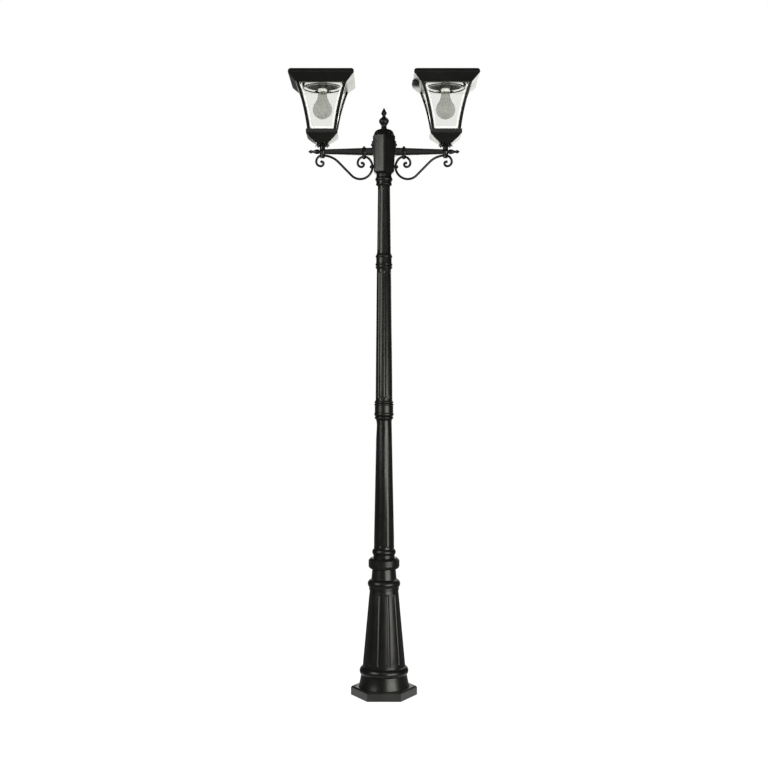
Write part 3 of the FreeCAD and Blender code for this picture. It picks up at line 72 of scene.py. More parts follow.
camera_data = bpy.data.cameras.new("photo_camera")
camera_data.sensor_width = SENSOR_WIDTH
camera_data.lens = SENSOR_WIDTH * FOCAL_PIXELS / PICTURE_SIDE
camera_data.clip_end = VIEW_LIMIT
camera = bpy.data.objects.new("photo_camera", camera_data)
camera.location = (0.0, -EYE_DISTANCE, EYE_HEIGHT)
camera.rotation_euler = (math.radians(90), 0.0, 0.0)
scene.collection.objects.link(camera)
scene.camera = camera
scene.view_settings.view_transform = "Standard"
print("lens:", round(camera_data.lens, 1), "mm")

# %% [markdown]
# ## Studio
#
# Black gloss paint shows its surroundings more than its own colour. A white room all around would turn
# the post grey, so the camera and the glass see white, while the paint mirrors a dim room with a paler
# sweep behind the post. Its faces then stay black, and only those seen at a grazing angle turn pale.
#
# The world and the materials are trees of nodes. Three helpers keep them short: one joins two sockets,
# one does a sum on them, and one maps a value from one range to another.

# %% Node helpers
RANGE_SOCKETS = ("From Min", "From Max", "To Min", "To Max")


def link(tree, source, target):
    """Joins two sockets in a node tree."""
    tree.links.new(source, target)


def calc(tree, operation, first, second):
    """Math node on two sockets or numbers, which gives its result socket."""
    node = tree.nodes.new("ShaderNodeMath")
    node.operation = operation
    for value, socket in zip((first, second), node.inputs):
        if isinstance(value, float):
            socket.default_value = value
        else:
            link(tree, value, socket)
    return node.outputs[0]


def mapped(tree, value, limits, results, curve="SMOOTHSTEP"):
    """Takes a socket from a pair of limits to a pair of results, along a curve."""
    node = tree.nodes.new("ShaderNodeMapRange")
    node.interpolation_type = curve
    for label, number in zip(RANGE_SOCKETS, (*limits, *results)):
        node.inputs[label].default_value = number
    link(tree, value, node.inputs["Value"])
    return node.outputs["Result"]


print("node helpers:", link.__name__, calc.__name__, mapped.__name__)

# %% World
ROOM_GREY = 0.045
SWEEP_GREY = 0.14
SWEEP_FADE = (0.75, 0.98)
FILL_LIGHT = 0.55
WHITE = (1.0, 1.0, 1.0, 1.0)

world = bpy.data.worlds.new("studio")
scene.world = world
world.use_nodes = True
tree = world.node_tree
tree.nodes.clear()
output = tree.nodes.new("ShaderNodeOutputWorld")
path = tree.nodes.new("ShaderNodeLightPath")
where = tree.nodes.new("ShaderNodeTexCoord")
split = tree.nodes.new("ShaderNodeSeparateXYZ")
link(tree, where.outputs["Generated"], split.inputs[0])
room = mapped(tree, split.outputs["Y"], SWEEP_FADE, (ROOM_GREY, SWEEP_GREY))
straight = calc(tree, "MAXIMUM", path.outputs["Is Camera Ray"], path.outputs["Is Transmission Ray"])
sweep = tree.nodes.new("ShaderNodeBackground")
link(tree, calc(tree, "MAXIMUM", straight, room), sweep.inputs["Color"])
fill = tree.nodes.new("ShaderNodeBackground")
fill.inputs["Color"].default_value = WHITE
fill.inputs["Strength"].default_value = FILL_LIGHT
either = tree.nodes.new("ShaderNodeMixShader")
link(tree, calc(tree, "MAXIMUM", straight, path.outputs["Is Glossy Ray"]), either.inputs["Fac"])
link(tree, fill.outputs[0], either.inputs[1])
link(tree, sweep.outputs[0], either.inputs[2])
link(tree, either.outputs[0], output.inputs["Surface"])
print("world: room", ROOM_GREY, "fill", FILL_LIGHT)

# %% [markdown]
# Six soft boxes draw the highlights: a low one on the right along the pedestal, two on the left along
# pole and lanterns, a high one in front on the roofs, and two dim panels behind. What gloss mirrors is
# a lamp's radiance, not its power, so the table gives that and the power follows from the size. The
# panes would show the lamps as white patches, so rays through glass don't see them.

# %% Soft boxes
WARM_WHITE = (1.0, 0.99, 0.93)
SOFT_BOXES = (
    # name, place, target, width, height, radiance
    ("low_right_box", (1.8, -2.4, 0.6), (0, 0, 0.6), 2.3, 1.2, 12.0),
    ("middle_left_box", (-2.3, -1.93, 1.62), (0, 0, 1.62), 1.5, 1.3, 9.0),
    ("high_left_box", (-2.3, -1.93, 2.55), (0, 0, 1.9), 1.5, 0.8, 5.0),
    ("high_front_box", (0.0, -3.7, 3.1), (0, 0, 2.2), 1.8, 0.6, 4.5),
    ("rear_panel", (0.4, 1.9, 2.0), (0.4, 0, 2.0), 2.0, 1.3, 2.7),
    ("rear_low_panel", (0.15, 1.9, 0.55), (0.15, 0, 0.3), 1.4, 0.7, 1.0),
)


def soft_box(name, place, target, width, height, radiance):
    """Rectangular lamp at a place, turned towards a target, as bright as its radiance says."""
    data = bpy.data.lights.new(name, "AREA")
    data.shape = "RECTANGLE"
    data.size = width
    data.size_y = height
    data.energy = radiance * math.pi * width * height
    data.color = WARM_WHITE
    lamp = bpy.data.objects.new(name, data)
    lamp.location = place
    aim = Vector(target) - Vector(place)
    lamp.rotation_euler = aim.to_track_quat("-Z", "Y").to_euler()
    lamp.visible_camera = False
    lamp.visible_transmission = False
    scene.collection.objects.link(lamp)


for row in SOFT_BOXES:
    soft_box(*row)

# %% [markdown]
# The floor looks white, as the sweep does, and keeps the post's shadow. Gloss sees it in two places
# only: behind the post, where it runs into the sweep, and close around the foot, whose upright sides
# mirror it. Elsewhere it is dark to gloss, or it would whiten every face that looks down.

# %% Floor
FLOOR_HALF = 40.0
FLOOR_DROP = 0.0003

floor_mesh = bpy.data.meshes.new("floor")
shape = bmesh.new()
bmesh.ops.create_grid(shape, x_segments=1, y_segments=1, size=FLOOR_HALF)
bmesh.ops.translate(shape, verts=shape.verts, vec=(0, 0, -FLOOR_DROP))
shape.to_mesh(floor_mesh)
shape.free()
floor = bpy.data.objects.new("floor", floor_mesh)
scene.collection.objects.link(floor)
print("floor:", 2 * FLOOR_HALF, "m wide")

# %% Floor paint
FLOOR_GREY = 0.15
FLOOR_ROUGHNESS = 0.9
FLOOR_GLOW = 0.93
SWEEP_EDGE = (0.2, 1.4)
FOOT_GLOW = 0.78
FOOT_GLOW_EDGE = (0.2, 0.42)

floor_paint = bpy.data.materials.new("pale_floor")
floor_paint.use_nodes = True
tree = floor_paint.node_tree
surface = tree.nodes["Principled BSDF"]
surface.inputs["Base Color"].default_value = (FLOOR_GREY, FLOOR_GREY, FLOOR_GREY, 1.0)
surface.inputs["Roughness"].default_value = FLOOR_ROUGHNESS
surface.inputs["Specular IOR Level"].default_value = 0.0
surface.inputs["Emission Color"].default_value = WHITE
path = tree.nodes.new("ShaderNodeLightPath")
place = tree.nodes.new("ShaderNodeTexCoord")
split = tree.nodes.new("ShaderNodeSeparateXYZ")
link(tree, place.outputs["Object"], split.inputs[0])
behind = mapped(tree, split.outputs["Y"], SWEEP_EDGE, (0.0, SWEEP_GREY))
from_axis = tree.nodes.new("ShaderNodeVectorMath")
from_axis.operation = "LENGTH"
link(tree, place.outputs["Object"], from_axis.inputs[0])
around_foot = mapped(tree, from_axis.outputs["Value"], FOOT_GLOW_EDGE, (FOOT_GLOW, 0.0))
mirrored = calc(tree, "MAXIMUM", behind, around_foot)
looks = calc(tree, "MULTIPLY", path.outputs["Is Glossy Ray"], mirrored)
for ray in ("Is Camera Ray", "Is Transmission Ray"):
    looks = calc(tree, "MAXIMUM", looks, path.outputs[ray])
link(tree, calc(tree, "MULTIPLY", looks, FLOOR_GLOW), surface.inputs["Emission Strength"])
floor.data.materials.append(floor_paint)
print("floor paint:", floor_paint.name)

# %% [markdown]
# ## Finishes
#
# Powder coat isn't one flat black. It melts into a skin with a faint ripple, and its gloss changes a
# little from place to place. Several finishes share that ripple, so it is a node group of its own that
# gives a mottle for colour and gloss and a height for bump.

# %% Ripple group
FINE_GRAIN = 700.0
BROAD_GRAIN = 14.0
GRAIN_DETAIL = 3.0


def new_group(name, inputs, outputs):
    """Shader node group with named value sockets."""
    group = bpy.data.node_groups.new(name, "ShaderNodeTree")
    for label, value in inputs:
        socket = group.interface.new_socket(label, in_out="INPUT", socket_type="NodeSocketFloat")
        socket.default_value = value
    for label in outputs:
        group.interface.new_socket(label, in_out="OUTPUT", socket_type="NodeSocketFloat")
    return group, group.nodes.new("NodeGroupInput"), group.nodes.new("NodeGroupOutput")


grains = [("Fine", FINE_GRAIN), ("Broad", BROAD_GRAIN)]
ripple_group, given, result = new_group("coat_ripple", grains, ["Height", "Mottle"])
place = ripple_group.nodes.new("ShaderNodeTexCoord")
for grain, target in (("Fine", "Height"), ("Broad", "Mottle")):
    noise = ripple_group.nodes.new("ShaderNodeTexNoise")
    noise.label = grain
    noise.inputs["Detail"].default_value = GRAIN_DETAIL
    link(ripple_group, place.outputs["Object"], noise.inputs["Vector"])
    link(ripple_group, given.outputs[grain], noise.inputs["Scale"])
    link(ripple_group, noise.outputs["Fac"], result.inputs[target])
print("group:", ripple_group.name)

# %% [markdown]
# One function makes every rippled finish, from the black paint to the wrap of the battery cells. The
# mottle mixes two near colours and moves the roughness between two limits, and the height feeds a bump.
# Noise seldom leaves the middle of its range, so the mottle is stretched from there.

# %% Rippled finish
MOTTLE_RANGE = (0.3, 0.7)


def between(tree, factor, colours):
    """Mixes a pair of colours by a factor socket."""
    mix = tree.nodes.new("ShaderNodeMix")
    mix.data_type = "RGBA"
    for socket, colour in zip(("A", "B"), colours):
        mix.inputs[socket].default_value = (*colour, 1.0)
    link(tree, factor, mix.inputs["Factor"])
    return mix.outputs["Result"]


def rippled(name, colours, gloss, grain, depth, specular=0.5, metallic=0.0):
    """Material with the shared ripple: two colours, roughness limits, grain per metre, bump in metres."""
    material = bpy.data.materials.new(name)
    material.use_nodes = True
    tree = material.node_tree
    surface = tree.nodes["Principled BSDF"]
    surface.inputs["Specular IOR Level"].default_value = specular
    surface.inputs["Metallic"].default_value = metallic
    ripple = tree.nodes.new("ShaderNodeGroup")
    ripple.node_tree = ripple_group
    ripple.inputs["Fine"].default_value = grain
    mottle = ripple.outputs["Mottle"]
    even = mapped(tree, mottle, MOTTLE_RANGE, (0.0, 1.0), "LINEAR")
    link(tree, between(tree, even, colours), surface.inputs["Base Color"])
    link(tree, mapped(tree, mottle, MOTTLE_RANGE, gloss, "LINEAR"), surface.inputs["Roughness"])
    bump = tree.nodes.new("ShaderNodeBump")
    bump.inputs["Distance"].default_value = depth
    bump.inputs["Strength"].default_value = 1.0
    link(tree, ripple.outputs["Height"], bump.inputs["Height"])
    link(tree, bump.outputs["Normal"], surface.inputs["Normal"])
    return material


print("rippled finish: mottle from", MOTTLE_RANGE)

# %% Black coats
BLACK_PAINT = ((0.0035, 0.0035, 0.0032), (0.0055, 0.0055, 0.005))
IRON_PAINT = ((0.006, 0.006, 0.0055), (0.014, 0.014, 0.0125))
MOULDED_BLACK = ((0.012, 0.012, 0.012), (0.02, 0.02, 0.02))

# name, colours, roughness limits, grain per metre, bump in metres
cast_black = rippled("satin_black_casting", BLACK_PAINT, (0.26, 0.34), 650.0, 0.000012, specular=0.25)
iron_black = rippled("satin_black_iron", IRON_PAINT, (0.24, 0.36), 300.0, 0.00008, specular=0.4)
steel_black = rippled("satin_black_steel", BLACK_PAINT, (0.25, 0.33), 900.0, 0.000012, specular=0.25)
switch_black = rippled("moulded_black", MOULDED_BLACK, (0.42, 0.55), 1500.0, 0.00005)
print("black coats:", cast_black.name, iron_black.name, steel_black.name, switch_black.name)

# %% Metals and plastics
ZINC = ((0.42, 0.42, 0.4), (0.58, 0.58, 0.56))
POLISHED = ((0.86, 0.86, 0.85), (0.94, 0.94, 0.93))
# The next colours paint the ceiling dish and the bead's sides dark: painted reflection and painted shade.
PAINTED_DARK_COLOURS = ((0.035, 0.035, 0.034), (0.06, 0.06, 0.058))
HOLDER_WHITE = ((0.76, 0.76, 0.73), (0.84, 0.84, 0.81))
WRAP_BLUE = ((0.06, 0.15, 0.33), (0.09, 0.2, 0.4))
BOARD_GREEN = ((0.02, 0.12, 0.04), (0.04, 0.18, 0.07))
MOULDED_GREY = ((0.26, 0.26, 0.25), (0.34, 0.34, 0.33))

# name, colours, roughness limits, grain per metre, bump in metres
zinc = rippled("zinc_steel", ZINC, (0.28, 0.42), 500.0, 0.00003, metallic=1.0)
bright = rippled("polished_ceiling", POLISHED, (0.03, 0.08), 40.0, 0.00004, metallic=1.0)
# Dark metal for the dish lining and the bead's sides: painted reflection in the dish, painted shade on
# the bead.
painted_dark_finish = rippled("dish_and_bead_painted_dark", PAINTED_DARK_COLOURS, (0.05, 0.12), 60.0, 0.00004, metallic=1.0)
porcelain = rippled("white_holder", HOLDER_WHITE, (0.2, 0.3), 300.0, 0.00002)
cell_wrap = rippled("blue_cell_wrap", WRAP_BLUE, (0.25, 0.35), 200.0, 0.00003)
board_green = rippled("green_board", BOARD_GREEN, (0.35, 0.5), 400.0, 0.00003)
button_grey = rippled("moulded_grey", MOULDED_GREY, (0.3, 0.42), 1200.0, 0.00004)
print("rippled finishes:", len(bpy.data.materials) - 1)

# %% [markdown]
# ## Glass
#
# Clear glass in a render needs care: rays for shadows stop at it, and the lantern would be dark inside.
# Each glass lets shadow rays pass straight on, so light reaches the bulb and the ceiling plate. A thin
# sheet hardly moves what is seen through it, even at a slant, so the panes have an index close to one.

# %% Glass
PANE_INDEX = 1.003
BULB_INDEX = 1.3
PIPE_INDEX = 1.06
PANE_GREY = (0.89, 0.895, 0.875)
# The bevel colour is a plain tint on the side panes. On the front and rear panes it is a white painted
# highlight that lets through only the share set below.
BEVEL_TINT_AND_PAINTED_WHITE = (0.97, 0.97, 0.96)
SMOKE_GREY = (0.69, 0.69, 0.67)
PIPE_WHITE = (0.97, 0.97, 0.95)
PAINTED_BEVEL_THROUGH = 0.35


def glass(name, tint, roughness, index, through=1.0):
    """Tinted clear material whose shadow rays pass through."""
    material = bpy.data.materials.new(name)
    material.use_nodes = True
    tree = material.node_tree
    surface = tree.nodes["Principled BSDF"]
    surface.inputs["Base Color"].default_value = (*tint, 1.0)
    surface.inputs["Roughness"].default_value = roughness
    surface.inputs["IOR"].default_value = index
    surface.inputs["Transmission Weight"].default_value = through
    clear = tree.nodes.new("ShaderNodeBsdfTransparent")
    clear.inputs["Color"].default_value = (*tint, 1.0)
    path = tree.nodes.new("ShaderNodeLightPath")
    shadow = tree.nodes.new("ShaderNodeMixShader")
    link(tree, path.outputs["Is Shadow Ray"], shadow.inputs["Fac"])
    link(tree, surface.outputs[0], shadow.inputs[1])
    link(tree, clear.outputs[0], shadow.inputs[2])
    link(tree, shadow.outputs[0], tree.nodes["Material Output"].inputs["Surface"])
    return material


# name, tint, roughness, index, and for the bevel painted white the share that it lets through
pane_field = glass("pane_field", PANE_GREY, 0.0, PANE_INDEX)
# Front and rear bevels: a painted highlight, a white diffuse sheet that lets through only a share.
pane_bevel_painted_white = glass("pane_bevel_painted_white", BEVEL_TINT_AND_PAINTED_WHITE, 0.25, PANE_INDEX, PAINTED_BEVEL_THROUGH)
pane_clear_bevel = glass("pane_clear_bevel", BEVEL_TINT_AND_PAINTED_WHITE, 0.0, PANE_INDEX)
smoke = glass("smoke_bulb", SMOKE_GREY, 0.06, BULB_INDEX)
light_pipe = glass("frosted_light_pipe", PIPE_WHITE, 0.3, PIPE_INDEX)
print("glass:", pane_field.name, pane_bevel_painted_white.name, pane_clear_bevel.name, smoke.name, light_pipe.name)

# %% [markdown]
# ## Solar cells
#
# A solar cell is dark blue-black silicon under glass, crossed by pale contact lines as thin as a hair.
# A picture of cells would do for one size only. The lines repeat on a square grid, so folding the
# position back and forth by half a pitch gives them at any size.

# %% Solar cells
CELL_BLUE = ((0.006, 0.008, 0.02), (0.01, 0.014, 0.034))
SHEET_GREY = ((0.42, 0.43, 0.44), (0.5, 0.51, 0.52))
CONTACT_GREY = (0.45, 0.46, 0.48)
CONTACT_PITCH = 0.0021
CONTACT_WIDTH = 0.00012


def solar_cells(name):
    """Rippled cells with pale contact lines, from the position on the roof."""
    material = rippled(name, CELL_BLUE, (0.06, 0.1), 60.0, 0.00001)
    tree = material.node_tree
    place = tree.nodes.new("ShaderNodeTexCoord")
    split = tree.nodes.new("ShaderNodeSeparateXYZ")
    link(tree, place.outputs["Object"], split.inputs[0])
    lines = []
    for axis in ("X", "Y"):
        fold = calc(tree, "PINGPONG", split.outputs[axis], CONTACT_PITCH / 2)
        lines.append(calc(tree, "LESS_THAN", fold, CONTACT_WIDTH / 2))
    base = tree.nodes["Principled BSDF"].inputs["Base Color"]
    mix = tree.nodes.new("ShaderNodeMix")
    mix.data_type = "RGBA"
    mix.inputs["B"].default_value = (*CONTACT_GREY, 1.0)
    link(tree, calc(tree, "MAXIMUM", *lines), mix.inputs["Factor"])
    link(tree, base.links[0].from_socket, mix.inputs["A"])
    link(tree, mix.outputs["Result"], base)
    return material


solar = solar_cells("solar_cells")
back_sheet = rippled("back_sheet", SHEET_GREY, (0.12, 0.2), 300.0, 0.00001)
print("cells:", solar.name, "on", back_sheet.name)

# %% [markdown]
# ## Dress the CAD nodes
#
# The record names a material slot for every node. Each slot gets its finish here, so a node that later
# pieces don't replace is already dressed: pole, pedestal, arms, scrolls and cages keep their solids.

# %% Dress the nodes
FINISH = {
    "black_iron": iron_black, "black_aluminium": cast_black, "black_steel": steel_black, "steel": zinc,
    "clear_glass": pane_field, "smoke_glass": smoke, "solar_glass": solar, "bright_aluminium": bright,
    "white_plastic": porcelain, "pale_plastic": light_pipe, "battery_plastic": cell_wrap,
    "board_plastic": board_green, "black_plastic": switch_black, "grey_plastic": button_grey,
}
for entry in frame["record"]["subparts"]:
    node = frame["nodes"][entry["node"]]
    node.data.materials.clear()
    node.data.materials.append(FINISH[entry["material_slot"]])

# %% [markdown]
# ## From mesh to piece
#
# Every new piece ends in the same way: its mesh is shaded smooth except at sharp angles, gets its
# finishes, is hung on the body it moves with, and hides the solids it stands in for.
# One helper does that, so that no piece can forget a step. Most lantern pieces sit on their lantern's
# upright axis, which is the middle of its roof.

# %% Finished pieces
SMOOTH_UP_TO = 40.0
SIDES = ("left", "right")


def finished(name, shape, finishes, body, replaced, sharp=SMOOTH_UP_TO):
    """Object from a bmesh: smooth up to an angle, dressed, on its body, in place of its solids."""
    mesh = bpy.data.meshes.new(name)
    shape.to_mesh(mesh)
    shape.free()
    for finish in finishes:
        mesh.materials.append(finish)
    mesh.shade_smooth()
    mesh.set_sharp_from_angle(angle=math.radians(sharp))
    piece = bpy.data.objects.new(name, mesh)
    scene.collection.objects.link(piece)
    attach(piece, body)
    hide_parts(*replaced)
    return piece


def centre_of(node):
    """Middle of a CAD node's box."""
    low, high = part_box(node)
    return (low + high) / 2


AXIS_X = {side: centre_of(side + "_roof").x for side in SIDES}
print("lantern axes:", {side: round(x, 4) for side, x in AXIS_X.items()})

# %% [markdown]
# ## Eased edges
#
# No casting has knife edges: the sand and the paint round them, and the light catches on that rounding.
# Modelling these castings anew could only repeat the solids. A copy of each solid's own mesh is merged
# instead, its flat areas are joined to whole faces, and every edge between two of them gets a narrow
# bevel. The roofs' rims are drawn in to a larger round first, because theirs is the softest edge of all.

# %% Roof rims
ROOF_HALF = 0.115
SOLID_ROUND = 0.009
RIM_ROUND = 0.0135
ON_RIM = 0.0003


def rim_half(drop, radius):
    """Half width of a roof's rim at a drop below its top, with its top edge rounded by a radius."""
    return ROOF_HALF - radius + math.sqrt(radius ** 2 - max(0.0, radius - drop) ** 2)


def rounder_rim(shape, middle, top):
    """Moves the outer skin of a roof's rim from the solid's round to a larger one."""
    for vert in shape.verts:
        drop = top - vert.co.z
        if drop > RIM_ROUND:
            continue
        for axis in (0, 1):
            out = vert.co[axis] - middle[axis]
            if abs(abs(out) - rim_half(drop, SOLID_ROUND)) < ON_RIM:
                vert.co[axis] = middle[axis] + math.copysign(rim_half(drop, RIM_ROUND), out)


print("roof rims: round of", RIM_ROUND, "m")

# %% Eased castings
MERGE = 0.000001
FLAT = math.radians(1.0)
EDGE_ANGLE = math.radians(28.0)
EASE_SEGMENTS = 2
FOOT_EASE = 0.0016
HUB_EASE = 0.0008
HUB_SHARP = 10.0
ROOF_EASE = 0.0024
BOWL_EASE = 0.0009


def eased_casting(name, node, width, finish, body, sharp=SMOOTH_UP_TO, is_roof=False):
    """Copy of a CAD node's mesh with bevelled edges, in its place."""
    shape = bmesh.new()
    shape.from_mesh(frame["nodes"][node].data)
    bmesh.ops.remove_doubles(shape, verts=shape.verts, dist=MERGE)
    if is_roof:
        rounder_rim(shape, centre_of(node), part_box(node)[1].z)
    bmesh.ops.dissolve_limit(shape, angle_limit=FLAT, verts=shape.verts, edges=shape.edges)
    corners = [e for e in shape.edges if len(e.link_faces) == 2 and e.calc_face_angle() > EDGE_ANGLE]
    bmesh.ops.bevel(shape, geom=corners, offset=width, offset_type="OFFSET", affect="EDGES",
                    segments=EASE_SEGMENTS, profile=0.5, clamp_overlap=True, material=-1)
    piece = finished(name, shape, [finish], body, [node], sharp)
    flat = piece.modifiers.new("flat_faces", "WEIGHTED_NORMAL")
    flat.keep_sharp = True
    print(piece.name, "eased edges:", len(corners), "faces:", len(piece.data.polygons))


eased_casting("eased_foot", "base_plate", FOOT_EASE, iron_black, "post")
eased_casting("eased_hub", "hub", HUB_EASE, cast_black, "post", sharp=HUB_SHARP)
for side in SIDES:
    eased_casting(side + "_eased_roof", side + "_roof", ROOF_EASE, cast_black, side + "_head",
                  is_roof=True)
    eased_casting(side + "_eased_bowl", side + "_bowl", BOWL_EASE, cast_black, side + "_head")

# %% [markdown]
# ## Hub cap
#
# A domed lid closes the hub. A squashed sphere on a disc would come near, but the real lid is turned,
# and rim, step and dome run into each other. So its curve is one profile, in millimetres, and a spin
# about the upright axis. The same spin makes all the other turned pieces.

# %% Turning
def move(shape, offset):
    """Moves a whole bmesh."""
    bmesh.ops.translate(shape, verts=shape.verts, vec=offset)


def millimetres(points):
    """Profile given in millimetres, in metres."""
    return [(radius / 1000, height / 1000) for radius, height in points]


def turn(shape, profile, steps):
    """Spins a profile of (radius, height) points about Z, merges its seam and turns faces outwards."""
    points = [shape.verts.new((radius, 0.0, height)) for radius, height in profile]
    edges = [shape.edges.new(pair) for pair in zip(points, points[1:])]
    bmesh.ops.spin(shape, geom=points + edges, axis=(0, 0, 1), cent=(0, 0, 0), angle=2 * math.pi,
                   steps=steps, use_merge=True)
    bmesh.ops.remove_doubles(shape, verts=shape.verts, dist=MERGE)
    bmesh.ops.recalc_face_normals(shape, faces=shape.faces)


print("turning: seams merged within", MERGE, "m")

# %% Hub cap
DOME_PROFILE = (
    (0, 0), (37.9, 0), (38.5, 0.6), (38.5, 2.4), (37.9, 4.0), (36.9, 6.6), (35.9, 10.0), (34.5, 13.6),
    (32.7, 17.0), (30.2, 20.2), (27.0, 22.7), (23.2, 24.4), (18.6, 25.4), (13.0, 26.0), (0, 26.0),
)
DOME_HEIGHT = 0.026
DOME_STEPS = 64

shape = bmesh.new()
turn(shape, millimetres(DOME_PROFILE), DOME_STEPS)
move(shape, (0, 0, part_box("hub_cap")[1].z - DOME_HEIGHT))
dome = finished("domed_cap", shape, [cast_black], "post", ["hub_cap"])
print(dome.name, "faces:", len(dome.data.polygons))

# %% [markdown]
# ## Finial
#
# The spike on the hub is a small casting whose bulb has a quilted relief, like the scales of a cone. A
# coarse spin gives rows of square faces, and poking each face of the bulb outwards makes the quilt.
# Subdivision then rounds it as sand casting and paint do.

# %% Finial
FINIAL_PROFILE = (
    (0, 0), (11.9, 0), (12.2, 0.4), (12.2, 2.6), (11.0, 3.6), (9.9, 6.5), (9.7, 10.0), (10.0, 13.8),
    (12.0, 17.0), (15.4, 22.0), (17.9, 26.5), (18.3, 30.5), (16.4, 35.5), (12.4, 40.0), (7.8, 44.0),
    (5.4, 46.8), (5.4, 48.6), (7.4, 52.0), (10.2, 56.0), (10.8, 58.0), (9.8, 60.5), (6.2, 67.0),
    (2.6, 74.0), (0.8, 77.4), (0, 78),
)
FINIAL_STEPS = 16
FINIAL_LEVELS = 2
QUILT_FOOT = 0.0165
QUILT_TOP = 0.0405
QUILT_RISE = 0.0011

shape = bmesh.new()
turn(shape, millimetres(FINIAL_PROFILE), FINIAL_STEPS)
quilt = [f for f in shape.faces if QUILT_FOOT < f.calc_center_median().z < QUILT_TOP]
bmesh.ops.poke(shape, faces=quilt, offset=QUILT_RISE)
move(shape, (0, 0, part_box("hub_cap")[1].z))
finial = finished("quilted_finial", shape, [cast_black], "post", ["finial"])
rounding = finial.modifiers.new("rounding", "SUBSURF")
rounding.levels = FINIAL_LEVELS
rounding.render_levels = FINIAL_LEVELS
print("finial faces:", len(finial.data.polygons), "quilted:", len(quilt))

# %% [markdown]
# ## Leaf fitters
#
# Under each lantern a turned cup slips over the stem, and eight cast leaves curl down from its edge. One
# leaf is a narrow grid: its width follows a leaf's outline, its length follows a curve, and a crease
# along the middle makes the rib. Solidify gives it thickness, and a spin sets eight around the cup.

# %% One leaf
LEAF_PATH = ((12.2, 1.6), (14.8, 5.4), (18.4, 7.6), (21.8, 6.9), (24.2, 4.0), (25.3, 0.6))
LEAF_HALF_WIDTHS = (3.4, 5.4, 6.8, 6.6, 4.6, 1.6)
LEAF_COLUMNS = 4
LEAF_RIB = 0.0009
LEAF_THICK = 0.0027


def leaf(shape):
    """One leaf along +X that droops to its tip."""
    rows = len(LEAF_PATH) - 1
    bmesh.ops.create_grid(shape, x_segments=rows, y_segments=LEAF_COLUMNS, size=1.0)
    for vert in shape.verts:
        row = round((vert.co.x + 1) / 2 * rows)
        across = vert.co.y
        reach, height = LEAF_PATH[row]
        rib = LEAF_RIB * (1 - abs(across))
        vert.co = (reach / 1000, across * LEAF_HALF_WIDTHS[row] / 1000, height / 1000 - rib)
    bmesh.ops.recalc_face_normals(shape, faces=shape.faces)
    bmesh.ops.solidify(shape, geom=shape.faces[:], thickness=LEAF_THICK)
    bmesh.ops.recalc_face_normals(shape, faces=shape.faces)


print("leaf: from", LEAF_PATH[0], "to", LEAF_PATH[-1], "mm")

# %% Leaf fitters
CUP_PROFILE = (
    (7.2, 0), (10.4, 0), (11.0, 0.5), (11.0, 2.2), (11.8, 3.0), (13.6, 4.2), (17.4, 7.2), (21.2, 10.2),
    (21.6, 10.9), (21.6, 11.2), (11.0, 11.2), (11.0, 25.2), (7.2, 25.2), (7.2, 0),
)
LEAF_COUNT = 8
TURN_STEPS = 48


def ring_of(shape, count):
    """Repeats a whole bmesh evenly about Z."""
    bmesh.ops.spin(shape, geom=shape.verts[:] + shape.edges[:] + shape.faces[:], axis=(0, 0, 1),
                   cent=(0, 0, 0), angle=2 * math.pi * (count - 1) / count, steps=count - 1,
                   use_duplicate=True)


for side in SIDES:
    shape = bmesh.new()
    leaf(shape)
    ring_of(shape, LEAF_COUNT)
    turn(shape, millimetres(CUP_PROFILE), TURN_STEPS)
    move(shape, (AXIS_X[side], 0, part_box(side + "_fitter")[0].z))
    fitter = finished(side + "_leaf_fitter", shape, [cast_black], side + "_head",
                      [side + "_fitter"])
    print(fitter.name, "faces:", len(fitter.data.polygons))

# %% [markdown]
# ## Bent panes
#
# Each lantern has four clear panes, bent to the flare of the cage, with a wide bevel along their edges.
# A bump could only fake the bevel, and its edge has to catch the light. So a grid takes the flare,
# solidify makes it a thin sheet, and one inset of its outer side raises the middle, which leaves the
# bevel as the strip around it.
#
# The field has the faint grey of thicker glass. On the front and rear panes the bevel is painted white,
# a painted highlight for the light that a clear bevel bends and mirrors. On the side panes it is clear,
# and the rear posts show through it. The strip under the roof looks like the field. That makes three
# finishes on one piece.

# %% Pane shape
CAGE_FOOT_HALF = 0.052
CAGE_TOP_HALF = 0.089
CAGE_HEIGHT = 0.1584
CAGE_BOW = 0.0045
PANE_SET_BACK = 0.0033
PANE_SIDE_ROOM = 0.0086
PANE_THICK = 0.003
BEVEL_DEPTH = 0.0012
BEVEL_WIDTH = 0.008
PANE_COLUMNS = 6
PANE_ROWS = 14


def flare(rise):
    """Half width of the cage at a rise above its foot: an arc that bows towards the axis."""
    run = CAGE_TOP_HALF - CAGE_FOOT_HALF
    chord = math.hypot(run, CAGE_HEIGHT)
    radius = (chord ** 2 / 4 + CAGE_BOW ** 2) / (2 * CAGE_BOW)
    out = radius - CAGE_BOW
    centre_x = (CAGE_FOOT_HALF + CAGE_TOP_HALF) / 2 + out * CAGE_HEIGHT / chord
    centre_z = CAGE_HEIGHT / 2 - out * run / chord
    return centre_x - math.sqrt(radius ** 2 - (rise - centre_z) ** 2)


